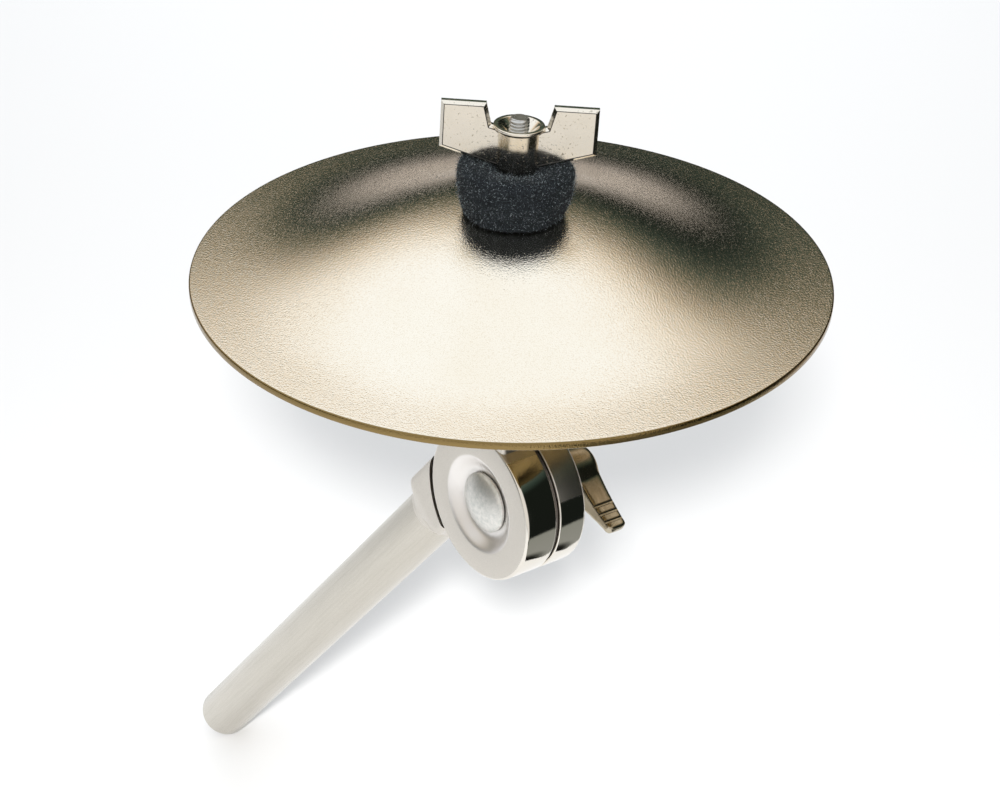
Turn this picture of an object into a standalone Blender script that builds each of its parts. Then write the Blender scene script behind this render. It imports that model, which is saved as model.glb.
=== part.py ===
# Ice bell: a small bronze plate bell held between felts on a tilting cymbal mount

import math

import bmesh
import bpy
from mathutils import Matrix, Vector

MM = 0.001

# Clearances
SEAT_GAP = 0.3 * MM  # between pieces that touch or rest on each other
FIT_GAP = 0.3 * MM  # all round a shaft in its hole
POCKET_GAP = 1.3 * MM  # between one tilter disc's rim and the other casting's neck

# Placing of the mount, in degrees
PIVOT_TURN = 37.7  # heading of the pivot's axis, from +X towards +Y
ROD_LEAN = 2.9  # the rod leans this much from the bell's own axis, along the pivot
ARM_BEND = 38.2  # bend at the tilter between the rod's line and the arm's line
NUT_TURN = -38.5  # the wing nut's wings, round the rod from the pivot's axis
CLAMP_TURN = -156.4  # the clamp's wings, round the pivot from square across the rod

# Bell
BELL_DIAMETER = 190.5 * MM
BELL_WALL = 2.35 * MM
BELL_RIM_ROUND = 0.5 * MM
BELL_HOLE = 12.7 * MM
FLANGE_RISE = 4.6 * MM
FLANGE_POWER = 2.18
CROWN_RISE = 15.4 * MM
CROWN_POWER = 2.72  # flatness of the crown's middle
CROWN_FALL = 4.06  # how soon the crown runs out into the flange

# Felts
UPPER_FELT_DIAMETER = 34.4 * MM
UPPER_FELT_FOOT = 29.6 * MM
UPPER_FELT_HEIGHT = 15.2 * MM
UPPER_FELT_DENT = 1.8 * MM  # how far the felt's top dips from its crest to the nut's hub
UPPER_FELT_ROUND = 2.4 * MM
LOWER_FELT_DIAMETER = 32.0 * MM
LOWER_FELT_HEIGHT = 9.3 * MM
LOWER_FELT_ROUND = 1.4 * MM

# Wing nut on the rod
NUT_HUB_TOP = 12.4 * MM
NUT_HUB_FOOT = 11.8 * MM
NUT_HUB_HEIGHT = 14.9 * MM
NUT_LIP_DIAMETER = 15.0 * MM
NUT_LIP = 0.7 * MM
NUT_SINK = 1.4 * MM  # how far the hub is pressed into the felt's dent
NUT_DISH_DIAMETER = 12.2 * MM
NUT_DISH_DEPTH = 2.8 * MM
NUT_WING_SPAN = 45.4 * MM
NUT_WING_RISE = 6.3 * MM  # wing tips over the hub's top
NUT_WING_NOTCH = 19.4 * MM  # between the two wings, at their tips
NUT_WING_NOTCH_FOOT = 16.0 * MM
NUT_WING_DROP = 7.9 * MM  # lower outer corner under the hub's top
NUT_WING_THICKNESS = 3.2 * MM
NUT_WING_BEVEL = 0.7 * MM

# Rod and what it carries
ROD_DIAMETER = 9.5 * MM
ROD_THREAD_DIAMETER = 6.0 * MM
ROD_SHOULDER = 84.4 * MM  # from the pivot up to the step under the seat washer
ROD_TIP = 2.2 * MM  # how far the rod stands over the wing nut's hub
ROD_CHAMFER = 0.6 * MM
ROD_SOCKET = 16.0 * MM
SEAT_WASHER_DIAMETER = 36.4 * MM
SEAT_WASHER_THICKNESS = 1.5 * MM
SEAT_WASHER_LIP = 2.2 * MM
SLEEVE_WALL = 1.4 * MM
SLEEVE_FLANGE_DIAMETER = 17.0 * MM
SLEEVE_FLANGE = 1.2 * MM
SLEEVE_SHORT = 0.9 * MM  # from the sleeve's end up to the wing nut
LOCK_NUT_ACROSS = 17.0 * MM
LOCK_NUT_HEIGHT = 5.0 * MM

# Tilter
TILTER_DIAMETER = 50.0 * MM
NEAR_HALF = 12.3 * MM  # from the seam's middle to the outer face
FAR_HALF = 10.9 * MM
SEAM_OPENING = 1.4 * MM
DISC_CHAMFER = 1.0 * MM
SEAM_CHAMFER = 0.5 * MM
FRICTION_DISC_DIAMETER = 48.4 * MM
DISH_DIAMETER = 31.7 * MM
DISH_FLOOR = 25.4 * MM
DISH_DEPTH = 3.3 * MM
UPPER_NECK_WIDTH = 20.0 * MM
UPPER_NECK_ROOT = 20.5 * MM
UPPER_NECK_START = 30.0 * MM
BOSS_DIAMETER = 17.0 * MM
BOSS_HEIGHT = 46.0 * MM
BOSS_STRAIGHT = 8.0 * MM
LOWER_NECK_ROOT = 8.0 * MM
LOWER_NECK_START = 30.0 * MM
COLLAR_STRAIGHT = 1.6 * MM
COLLAR_DIAMETER = 21.2 * MM
COLLAR_END = 38.5 * MM
COLLAR_CHAMFER = 0.4 * MM
NECK_SQUARENESS = 12.0  # power of the neck's rounded oblong section
NECK_INSET = 0.25 * MM  # from a disc's face to its neck's side
CASTING_CHAMFER = 0.8 * MM

# Arm
ARM_DIAMETER = 19.05 * MM
ARM_WALL = 1.2 * MM
ARM_OFFSET = 12.4 * MM  # from the pivot to the arm's line
ARM_TOP = 28.0 * MM
ARM_REACH = 258.0 * MM
PLUG_LENGTH = 14.0 * MM
PLUG_WALL = 2.2 * MM
PIN_DIAMETER = 3.0 * MM
PIN_WALL = 0.6 * MM
PIN_SLOT = 0.8 * MM
PIN_PLACE = 33.4 * MM

# Pivot bolt and clamp
BOLT_DIAMETER = 8.0 * MM
BOLT_HEAD_DIAMETER = 19.6 * MM
BOLT_HEAD_EDGE = 1.1 * MM
BOLT_DOME = 2.5 * MM
BOLT_SQUARE = 8.0 * MM
BOLT_SQUARE_LENGTH = 3.6 * MM
BUSH_DIAMETER = 12.0 * MM
THRUST_WASHER_DIAMETER = 20.0 * MM
THRUST_WASHER = 1.6 * MM
WAVE_WASHER_DIAMETER = 15.6 * MM
WAVE_WASHER = 0.6 * MM
WAVE_HEIGHT = 0.45 * MM
CLAMP_HUB_FOOT = 17.4 * MM
CLAMP_HUB_TOP = 16.2 * MM
CLAMP_HUB_HEIGHT = 16.2 * MM
CLAMP_CROWN_ROUND = 2.2 * MM
CLAMP_CROWN_INSET = 0.5 * MM  # from the hub's crown to the wings' outer edge
CLAMP_BORE_DEPTH = 12.6 * MM
CLAMP_SPAN = 50.2 * MM
CLAMP_ROOT = 6.4 * MM  # from the hub's foot to the wings' inner edge, at the hub
CLAMP_TIP = 8.1 * MM  # the same, at the tips
CLAMP_TIP_WIDTH = 7.0 * MM
CLAMP_THICKNESS = 3.3 * MM  # at the tips
CLAMP_ROOT_THICKNESS = 15.0 * MM
CLAMP_FLARE = 1.8  # how soon the wings thin out from their root
CLAMP_FLARE_CUTS = (0.28, 0.42, 0.58, 0.76)  # shares of a wing's reach
CLAMP_BEVEL = 0.5 * MM
CLAMP_CORNER = 1.4 * MM
GROOVE_DEPTH = 0.6 * MM
GROOVE_PITCH = 3.0 * MM
GROOVE_COUNT = 3

# Facets round a full turn
BELL_STEPS = 72
BELL_ROWS = 13
CASTING_STEPS = 48
FELT_STEPS = 36
SMALL_STEPS = 28

# Places that follow from the sizes, measured from the pivot up the rod
SEAM_HALF = SEAM_OPENING / 2
ROD_OFFSET = -NEAR_HALF / 2
ARM_MIDDLE = (FAR_HALF - NEAR_HALF) / 2
SEAT_WASHER_FOOT = ROD_SHOULDER + SEAT_GAP
SLEEVE_FOOT = SEAT_WASHER_FOOT + SEAT_WASHER_THICKNESS + SEAT_GAP
LOWER_FELT_FOOT = SLEEVE_FOOT + SLEEVE_FLANGE + SEAT_GAP
BELL_SEAT = LOWER_FELT_FOOT + LOWER_FELT_HEIGHT + SEAT_GAP
UPPER_FELT_TOP = BELL_SEAT + BELL_WALL + SEAT_GAP + UPPER_FELT_HEIGHT
UPPER_FELT_DENT_FLOOR = UPPER_FELT_TOP - UPPER_FELT_DENT
NUT_FOOT = UPPER_FELT_DENT_FLOOR - NUT_SINK
NUT_TOP = NUT_FOOT + NUT_HUB_HEIGHT
SLEEVE_DIAMETER = ROD_THREAD_DIAMETER + 2 * (FIT_GAP + SLEEVE_WALL)

# Places along the pivot's axis, from the seam's middle towards the clamp
DISH_FLOOR_PLACE = -NEAR_HALF + DISH_DEPTH
BOLT_HEAD_SEAT = DISH_FLOOR_PLACE - SEAT_GAP
THRUST_WASHER_PLACE = FAR_HALF + SEAT_GAP
WAVE_WASHER_PLACE = THRUST_WASHER_PLACE + THRUST_WASHER + SEAT_GAP + WAVE_HEIGHT
CLAMP_PLACE = WAVE_WASHER_PLACE + WAVE_WASHER + WAVE_HEIGHT + SEAT_GAP


def clear_scene():
    for old in list(bpy.data.objects):
        bpy.data.objects.remove(old, do_unlink=True)


def make_material(name, colour, roughness, metallic):
    material = bpy.data.materials.new(name)
    material.use_nodes = True
    shader = material.node_tree.nodes["Principled BSDF"]
    shader.inputs["Base Color"].default_value = (*colour, 1.0)
    shader.inputs["Roughness"].default_value = roughness
    shader.inputs["Metallic"].default_value = metallic
    material.diffuse_color = (*colour, 1.0)
    return material


def make_frame(name, matrix):
    """An empty that carries pieces."""
    frame = bpy.data.objects.new(name, None)
    bpy.context.scene.collection.objects.link(frame)
    frame.matrix_world = matrix
    return frame


def finish_mesh(name, bm, frame, material, smooth_angle=35.0):
    """An object made of this bmesh, with its origin at the frame's."""
    bmesh.ops.remove_doubles(bm, verts=bm.verts[:], dist=0.001 * MM)
    bmesh.ops.recalc_face_normals(bm, faces=bm.faces[:])
    mesh = bpy.data.meshes.new(name)
    bm.to_mesh(mesh)
    bm.free()
    mesh.shade_smooth()
    mesh.set_sharp_from_angle(angle=math.radians(smooth_angle))
    piece = bpy.data.objects.new(name, mesh)
    bpy.context.scene.collection.objects.link(piece)
    piece.parent = frame
    if material:
        mesh.materials.append(material)
    return piece


def arc(centre_r, centre_z, radius, start, stop, count):
    """Points on an arc of a profile, from one angle to another in degrees."""
    points = []
    for step in range(count + 1):
        angle = math.radians(start + (stop - start) * step / count)
        points.append((centre_r + radius * math.cos(angle), centre_z + radius * math.sin(angle)))
    return points


def spin_profile(profile, steps, ring=False):
    """Turn a profile of (radius, height) points round the Z axis. A ring's profile is a closed loop."""
    bm = bmesh.new()
    verts = [bm.verts.new((radius, 0.0, height)) for radius, height in profile]
    ends = list(zip(verts, verts[1:]))
    if ring:
        ends.append((verts[-1], verts[0]))
    edges = [bm.edges.new(pair) for pair in ends]
    bmesh.ops.spin(
        bm,
        geom=verts + edges,
        cent=(0.0, 0.0, 0.0),
        axis=(0.0, 0.0, 1.0),
        angle=2 * math.pi,
        steps=steps,
        use_merge=True,
    )
    return bm


def lay_along_pivot(bm):
    """Turn a shape made on the Z axis so that it lies along the X axis."""
    turn = Matrix.Rotation(math.radians(90), 3, "Y")
    bmesh.ops.rotate(bm, verts=bm.verts[:], cent=(0.0, 0.0, 0.0), matrix=turn)
    return bm


def turned(name, profile, frame, material, steps, ring=False, along_pivot=False):
    bm = spin_profile(profile, steps, ring)
    if along_pivot:
        lay_along_pivot(bm)
    return finish_mesh(name, bm, frame, material)


def tube_profile(inner, outer, low, high):
    """Profile of a plain ring."""
    return [(inner / 2, low), (outer / 2, low), (outer / 2, high), (inner / 2, high)]


def rod_profile(diameter, low, high):
    """Profile of a plain cylinder."""
    return [(0.0, high), (diameter / 2, high), (diameter / 2, low), (0.0, low)]


def as_cutter(piece):
    piece.hide_render = True
    piece.display_type = "WIRE"
    return piece


def combine(piece, other, operation):
    """Boolean of one piece with a helper that isn't a piece itself."""
    boolean = piece.modifiers.new(other.name, "BOOLEAN")
    boolean.operation = operation
    boolean.solver = "EXACT"
    boolean.object = as_cutter(other)


def oblong_section(half_x, half_y, power, count):
    """Points round an oblong whose corners are rounder at a lower power. Power 2 is an ellipse."""
    points = []
    for step in range(count):
        angle = 2 * math.pi * step / count
        across = abs(math.cos(angle)) / half_x
        along = abs(math.sin(angle)) / half_y
        reach = (across**power + along**power) ** (-1 / power)
        points.append((reach * math.cos(angle), reach * math.sin(angle)))
    return points


def loft(name, sections, frame):
    """A solid through oblong sections: (centre x, centre y, height, half x, half y, power)."""
    bm = bmesh.new()
    loops = []
    for centre_x, centre_y, height, half_x, half_y, power in sections:
        outline = oblong_section(half_x, half_y, power, CASTING_STEPS)
        verts = [bm.verts.new((centre_x + x, centre_y + y, height)) for x, y in outline]
        loops.append([bm.edges.new(pair) for pair in zip(verts, verts[1:] + verts[:1])])
        if len(loops) in (1, len(sections)):
            bm.faces.new(verts)
    for lower, upper in zip(loops, loops[1:]):
        bmesh.ops.bridge_loops(bm, edges=lower + upper)
    return finish_mesh(name, bm, frame, None)


def plate(name, outline, thickness, bevel, frame, cuts=()):
    """A flat plate in the XZ plane, centred on it, its outline's edges bevelled and its faces cut across at X places."""
    bm = bmesh.new()
    face = bm.faces.new([bm.verts.new((x, -thickness / 2, z)) for x, z in outline])
    grown = bmesh.ops.extrude_face_region(bm, geom=[face])
    moved = [item for item in grown["geom"] if isinstance(item, bmesh.types.BMVert)]
    bmesh.ops.translate(bm, verts=moved, vec=(0.0, thickness, 0.0))
    if bevel:
        flat = [edge for edge in bm.edges if abs(edge.verts[0].co.y - edge.verts[1].co.y) < 0.01 * MM]
        bmesh.ops.bevel(bm, geom=flat, offset=bevel, segments=1, profile=0.5, affect="EDGES")
    for place in cuts:
        whole = bm.verts[:] + bm.edges[:] + bm.faces[:]
        bmesh.ops.bisect_plane(bm, geom=whole, plane_co=(place, 0.0, 0.0), plane_no=(1.0, 0.0, 0.0))
    return finish_mesh(name, bm, frame, None)


def block(name, reach_x, reach_y, reach_z, frame):
    """A plain block between these pairs of places."""
    bm = bmesh.new()
    bmesh.ops.create_cube(bm, size=1.0)
    reaches = (reach_x, reach_y, reach_z)
    bmesh.ops.scale(bm, verts=bm.verts[:], vec=[high - low for low, high in reaches])
    bmesh.ops.translate(bm, verts=bm.verts[:], vec=[(low + high) / 2 for low, high in reaches])
    return finish_mesh(name, bm, frame, None)


def bell_height(radius):
    """Height of the bell's upper face over the rim's plane, at this radius."""
    share = min(radius / (BELL_DIAMETER / 2), 1.0)
    flange = FLANGE_RISE * (1 - share**FLANGE_POWER)
    crown = CROWN_RISE * (1 - share**CROWN_POWER) ** CROWN_FALL
    return flange + crown


def bell_upper_face(radius):
    """Height of the upper face over the bell's seat, which is the lower face's top."""
    return bell_height(radius) - bell_height(0.0) + BELL_WALL


def build_bell(frame, material):
    rim = BELL_DIAMETER / 2
    hole = BELL_HOLE / 2
    upper = []
    for row in range(BELL_ROWS + 1):
        radius = hole + (rim - BELL_RIM_ROUND - hole) * row / BELL_ROWS
        upper.append((radius, bell_upper_face(radius)))
    lower = [(radius, height - BELL_WALL) for radius, height in reversed(upper)]
    edge = bell_upper_face(rim)
    outer = [(rim, edge - BELL_RIM_ROUND), (rim, edge - BELL_WALL + BELL_RIM_ROUND)]
    turned("bell", upper + outer + lower, frame, material, BELL_STEPS, ring=True)


def rest_on_bell(bm, level, bell_from_rod, offset):
    """Move the points that lie at this level on to the bell's face, an offset above its lower face."""
    for vert in bm.verts:
        if abs(vert.co.z - level) > 0.001 * MM:
            continue
        for _ in range(5):
            on_bell = bell_from_rod @ vert.co
            radius = math.hypot(on_bell.x, on_bell.y)
            target = bell_upper_face(radius) - BELL_WALL + offset
            vert.co.z += target - on_bell.z


def build_upper_felt(frame, bell_from_rod, material):
    """The thick felt, barrel shaped, pressed on to the crown, with the nut's hub sunk in its top."""
    outer = UPPER_FELT_DIAMETER / 2
    foot = UPPER_FELT_FOOT / 2
    bore = SLEEVE_DIAMETER / 2 + FIT_GAP
    recess = NUT_HUB_TOP / 2 + FIT_GAP
    recess_floor = NUT_FOOT - SEAT_GAP
    seat = BELL_SEAT + BELL_WALL
    belly = seat + UPPER_FELT_HEIGHT * 0.52
    profile = [(bore, recess_floor), (bore, seat), ((bore + foot) / 2, seat), (foot, seat)]
    profile += [(foot + (outer - foot) * 0.62, seat + (belly - seat) * 0.42), (outer, belly)]
    profile += arc(outer - UPPER_FELT_ROUND, UPPER_FELT_TOP - UPPER_FELT_ROUND, UPPER_FELT_ROUND, 0, 90, 4)
    profile += [((outer + recess) / 2, UPPER_FELT_TOP - UPPER_FELT_DENT / 4)]
    profile += [(recess, UPPER_FELT_DENT_FLOOR), (recess, recess_floor)]
    bm = spin_profile(profile, FELT_STEPS, ring=True)
    rest_on_bell(bm, seat, bell_from_rod, BELL_WALL + SEAT_GAP)
    finish_mesh("upper_felt", bm, frame, material)


def build_lower_felt(frame, bell_from_rod, material):
    outer = LOWER_FELT_DIAMETER / 2
    bore = SLEEVE_DIAMETER / 2 + FIT_GAP
    top = BELL_SEAT
    profile = [(bore, LOWER_FELT_FOOT), (outer - LOWER_FELT_ROUND, LOWER_FELT_FOOT)]
    profile += [(outer, LOWER_FELT_FOOT + LOWER_FELT_ROUND), (outer, LOWER_FELT_FOOT + LOWER_FELT_HEIGHT * 0.45)]
    profile += [(outer - LOWER_FELT_ROUND, top), ((outer + bore) / 2, top), (bore, top)]
    bm = spin_profile(profile, FELT_STEPS, ring=True)
    rest_on_bell(bm, top, bell_from_rod, -SEAT_GAP)
    finish_mesh("lower_felt", bm, frame, material)


def build_wing_nut(frame, material):
    """Turned hub with a dished, lipped top, and two flat wings that stand up beside it."""
    bore = ROD_THREAD_DIAMETER / 2 + FIT_GAP
    lip = NUT_LIP_DIAMETER / 2
    profile = [(bore, NUT_FOOT), (NUT_HUB_FOOT / 2, NUT_FOOT), (NUT_HUB_TOP / 2, NUT_TOP - 2 * NUT_LIP)]
    profile += [(lip, NUT_TOP - NUT_LIP), (lip, NUT_TOP), (NUT_DISH_DIAMETER / 2, NUT_TOP)]
    profile += [(bore, NUT_TOP - NUT_DISH_DEPTH)]
    hub = turned("wing_nut", profile, frame, material, SMALL_STEPS, ring=True)
    root = (bore + NUT_HUB_FOOT / 2) / 2
    foot = UPPER_FELT_DENT_FLOOR + 2 * SEAT_GAP
    for name, side in (("nut_wing_right", 1), ("nut_wing_left", -1)):
        outline = [(root, foot), (NUT_HUB_FOOT / 2, foot)]
        outline += [(NUT_WING_SPAN / 2, NUT_TOP - NUT_WING_DROP), (NUT_WING_SPAN / 2, NUT_TOP + NUT_WING_RISE)]
        outline += [(NUT_WING_NOTCH / 2, NUT_TOP + NUT_WING_RISE), (NUT_WING_NOTCH_FOOT / 2, NUT_TOP)]
        outline += [(NUT_HUB_TOP / 2 - NUT_LIP, NUT_TOP - NUT_LIP / 2), (root, NUT_TOP - NUT_DISH_DEPTH)]
        outline = [(side * x, z) for x, z in outline]
        wing = plate(name, outline, NUT_WING_THICKNESS, NUT_WING_BEVEL, frame)
        combine(hub, wing, "UNION")


def build_rod(frame, material):
    body = ROD_DIAMETER / 2
    thread = ROD_THREAD_DIAMETER / 2
    foot = BOSS_HEIGHT - ROD_SOCKET + SEAT_GAP
    tip = NUT_TOP + ROD_TIP
    profile = [(0.0, tip), (thread - ROD_CHAMFER, tip), (thread, tip - ROD_CHAMFER)]
    profile += [(thread, ROD_SHOULDER), (body - ROD_CHAMFER, ROD_SHOULDER), (body, ROD_SHOULDER - ROD_CHAMFER)]
    profile += [(body, foot + ROD_CHAMFER), (body - ROD_CHAMFER, foot), (0.0, foot)]
    turned("cymbal_rod", profile, frame, material, SMALL_STEPS)


def build_seat_washer(frame, material):
    """A flat cup that the lower felt sits in."""
    bore = ROD_THREAD_DIAMETER / 2 + FIT_GAP
    outer = SEAT_WASHER_DIAMETER / 2
    floor = SEAT_WASHER_FOOT + SEAT_WASHER_THICKNESS
    inner = outer - SEAT_WASHER_THICKNESS
    profile = [(bore, SEAT_WASHER_FOOT), (inner, SEAT_WASHER_FOOT)]
    profile += arc(inner, floor, SEAT_WASHER_THICKNESS, -90, 0, 4)
    profile += [(outer, floor + SEAT_WASHER_LIP), (inner, floor + SEAT_WASHER_LIP), (inner, floor), (bore, floor)]
    turned("seat_washer", profile, frame, material, FELT_STEPS, ring=True)


def build_sleeve(frame, material):
    """Plastic sleeve that keeps the bell and felts off the thread."""
    bore = ROD_THREAD_DIAMETER / 2 + FIT_GAP
    outer = SLEEVE_DIAMETER / 2
    flange = SLEEVE_FLANGE_DIAMETER / 2
    top = NUT_FOOT - SLEEVE_SHORT
    profile = [(bore, SLEEVE_FOOT), (flange, SLEEVE_FOOT), (flange, SLEEVE_FOOT + SLEEVE_FLANGE)]
    profile += [(outer, SLEEVE_FOOT + SLEEVE_FLANGE), (outer, top), (bore, top)]
    turned("rod_sleeve", profile, frame, material, SMALL_STEPS, ring=True)


def build_lock_nut(frame, material):
    """Hexagon nut, its corners turned off on top."""
    low = BOSS_HEIGHT + SEAT_GAP
    high = low + LOCK_NUT_HEIGHT
    corner = LOCK_NUT_ACROSS / math.sqrt(3)
    bm = bmesh.new()
    bmesh.ops.create_cone(
        bm, cap_ends=True, segments=6, radius1=corner, radius2=corner, depth=LOCK_NUT_HEIGHT
    )
    bmesh.ops.translate(bm, verts=bm.verts[:], vec=(0.0, 0.0, (low + high) / 2))
    nut = finish_mesh("rod_lock_nut", bm, frame, material)
    bore = ROD_DIAMETER / 2 + FIT_GAP
    flat = LOCK_NUT_ACROSS / 2
    blank = [(bore, low - MM), (corner + MM, low - MM), (corner + MM, high - LOCK_NUT_HEIGHT / 5)]
    blank += [(flat - MM / 2, high + MM / 2), (bore, high + MM / 2)]
    combine(nut, turned("lock_nut_blank", blank, frame, None, FELT_STEPS, ring=True), "INTERSECT")


def disc_profile(outer_face, seam_face):
    """Profile of a tilter disc's rim and edges along the pivot, from its seam face to its outer face."""
    rim = TILTER_DIAMETER / 2
    out = math.copysign(1.0, outer_face)
    profile = [(0.0, seam_face), (rim - SEAM_CHAMFER, seam_face), (rim, seam_face + out * SEAM_CHAMFER)]
    return profile + [(rim, outer_face - out * DISC_CHAMFER), (rim - DISC_CHAMFER, outer_face)]


def neck_sections(starts_at, ends_at, heights, half_x, half_y, round_radius, chamfer):
    """Sections from an oblong neck to a round collar. The two centres are (x, y) points."""
    start, square_end, round_start, round_end, end = heights
    sections = [(*starts_at, start, half_x, half_y, NECK_SQUARENESS)]
    eases = 4
    for step in range(eases + 1):
        share = step / eases
        ease = share * share * (3 - 2 * share)
        centre_x = starts_at[0] + (ends_at[0] - starts_at[0]) * ease
        centre_y = starts_at[1] + (ends_at[1] - starts_at[1]) * ease
        height = square_end + (round_start - square_end) * share
        power = NECK_SQUARENESS ** (1 - ease) * 2.0**ease
        wide = half_x + (round_radius - half_x) * ease
        deep = half_y + (round_radius - half_y) * ease
        sections.append((centre_x, centre_y, height, wide, deep, power))
    sections.append((*ends_at, round_end, round_radius, round_radius, 2.0))
    sections.append((*ends_at, end, round_radius - chamfer, round_radius - chamfer, 2.0))
    return sections


def build_upper_casting(frame, material):
    """Near disc with its dished face, and the neck and boss that hold the rod."""
    profile = disc_profile(-NEAR_HALF, -SEAM_HALF)
    profile += [(DISH_DIAMETER / 2, -NEAR_HALF), (DISH_FLOOR / 2, DISH_FLOOR_PLACE), (0.0, DISH_FLOOR_PLACE)]
    casting = turned("upper_casting", profile, frame, material, CASTING_STEPS, along_pivot=True)
    half_x = (NEAR_HALF - SEAM_HALF) / 2 - NECK_INSET
    middle = -(NEAR_HALF + SEAM_HALF) / 2
    round_start = BOSS_HEIGHT - BOSS_STRAIGHT
    heights = (UPPER_NECK_ROOT, UPPER_NECK_START, round_start, BOSS_HEIGHT - CASTING_CHAMFER, BOSS_HEIGHT)
    sections = neck_sections(
        (middle, 0.0),
        (ROD_OFFSET, 0.0),
        heights,
        half_x,
        UPPER_NECK_WIDTH / 2,
        BOSS_DIAMETER / 2,
        CASTING_CHAMFER,
    )
    combine(casting, loft("upper_neck", sections, frame), "UNION")
    socket_floor = BOSS_HEIGHT - ROD_SOCKET
    socket = spin_profile(rod_profile(ROD_DIAMETER + 2 * FIT_GAP, socket_floor, BOSS_HEIGHT + MM), SMALL_STEPS)
    bmesh.ops.translate(socket, verts=socket.verts[:], vec=(ROD_OFFSET, 0.0, 0.0))
    combine(casting, finish_mesh("rod_socket", socket, frame, None), "DIFFERENCE")
    hole = rod_profile(BOLT_DIAMETER + 2 * FIT_GAP, -NEAR_HALF, MM)
    combine(casting, turned("bolt_hole", hole, frame, None, SMALL_STEPS, along_pivot=True), "DIFFERENCE")
    side = BOLT_SQUARE + 2 * FIT_GAP
    foot = BOLT_HEAD_SEAT + BOLT_SQUARE_LENGTH + SEAT_GAP
    square_hole = block("bolt_square_hole", (-NEAR_HALF, foot), (-side / 2, side / 2), (-side / 2, side / 2), frame)
    combine(casting, square_hole, "DIFFERENCE")


def build_lower_casting(frame, material):
    """Far disc, and the neck as wide as both discs whose collar takes the arm."""
    profile = disc_profile(FAR_HALF, SEAM_HALF) + [(0.0, FAR_HALF)]
    casting = turned("lower_casting", profile, frame, material, CASTING_STEPS, along_pivot=True)
    collar = COLLAR_DIAMETER / 2
    middle = (ARM_MIDDLE, ARM_OFFSET)
    end = -COLLAR_END
    heights = (-LOWER_NECK_ROOT, -LOWER_NECK_START, end + COLLAR_STRAIGHT, end + COLLAR_CHAMFER, end)
    half_x = (NEAR_HALF + FAR_HALF) / 2 - NECK_INSET
    sections = neck_sections(middle, middle, heights, half_x, collar, collar, COLLAR_CHAMFER)
    neck = loft("lower_neck", sections, frame)
    pocket = rod_profile(TILTER_DIAMETER + 2 * POCKET_GAP, -NEAR_HALF - MM, SEAM_HALF + NECK_INSET)
    combine(neck, turned("disc_pocket", pocket, frame, None, CASTING_STEPS, along_pivot=True), "DIFFERENCE")
    combine(casting, neck, "UNION")
    bore = rod_profile(BUSH_DIAMETER + 2 * FIT_GAP, -NEAR_HALF, FAR_HALF + MM)
    combine(casting, turned("bush_bore", bore, frame, None, SMALL_STEPS, along_pivot=True), "DIFFERENCE")
    socket = rod_profile(ARM_DIAMETER + 2 * FIT_GAP, end - MM, -ARM_TOP + SEAT_GAP)
    bm = spin_profile(socket, CASTING_STEPS)
    bmesh.ops.translate(bm, verts=bm.verts[:], vec=(ARM_MIDDLE, ARM_OFFSET, 0.0))
    combine(casting, finish_mesh("arm_socket", bm, frame, None), "DIFFERENCE")
    combine(casting, pin_hole("casting_pin_hole", frame), "DIFFERENCE")


def pin_hole(name, frame):
    """Cutter for the pin that crosses the collar and the arm."""
    bm = spin_profile(rod_profile(PIN_DIAMETER + 2 * FIT_GAP, -COLLAR_DIAMETER, COLLAR_DIAMETER), SMALL_STEPS)
    place_across_arm(bm)
    return finish_mesh(name, bm, frame, None)


def place_across_arm(bm):
    """Lay a shape made on the Z axis across the arm, through the middle of its collar."""
    turn = Matrix.Rotation(math.radians(-90), 3, "X")
    bmesh.ops.rotate(bm, verts=bm.verts[:], cent=(0.0, 0.0, 0.0), matrix=turn)
    bmesh.ops.translate(bm, verts=bm.verts[:], vec=(ARM_MIDDLE, ARM_OFFSET, -PIN_PLACE))


def build_arm(frame, steel, plastic):
    inner = ARM_DIAMETER - 2 * ARM_WALL
    bm = spin_profile(tube_profile(inner, ARM_DIAMETER, -ARM_REACH, -ARM_TOP), CASTING_STEPS, ring=True)
    bmesh.ops.translate(bm, verts=bm.verts[:], vec=(ARM_MIDDLE, ARM_OFFSET, 0.0))
    tube = finish_mesh("arm_tube", bm, frame, steel)
    combine(tube, pin_hole("tube_pin_hole", frame), "DIFFERENCE")
    outer = inner / 2 - FIT_GAP
    high = -ARM_REACH + PLUG_LENGTH
    profile = [(0.0, -ARM_REACH), (outer, -ARM_REACH), (outer, high), (outer - PLUG_WALL, high)]
    profile += [(outer - PLUG_WALL, -ARM_REACH + PLUG_WALL), (0.0, -ARM_REACH + PLUG_WALL)]
    bm = spin_profile(profile, SMALL_STEPS)
    bmesh.ops.translate(bm, verts=bm.verts[:], vec=(ARM_MIDDLE, ARM_OFFSET, 0.0))
    finish_mesh("arm_end_plug", bm, frame, plastic)


def build_roll_pin(frame, material):
    """Slotted spring pin that holds the arm in the collar."""
    half = COLLAR_DIAMETER / 2 - SEAT_GAP
    inner = PIN_DIAMETER - 2 * PIN_WALL
    bm = spin_profile(tube_profile(inner, PIN_DIAMETER, -half, half), SMALL_STEPS, ring=True)
    place_across_arm(bm)
    pin = finish_mesh("arm_roll_pin", bm, frame, material)
    sides = (ARM_MIDDLE - PIN_SLOT / 2, ARM_MIDDLE + PIN_SLOT / 2)
    ends = (ARM_OFFSET - COLLAR_DIAMETER, ARM_OFFSET + COLLAR_DIAMETER)
    slot = block("pin_slot", sides, ends, (-PIN_PLACE - PIN_DIAMETER, -PIN_PLACE), frame)
    combine(pin, slot, "DIFFERENCE")


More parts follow.
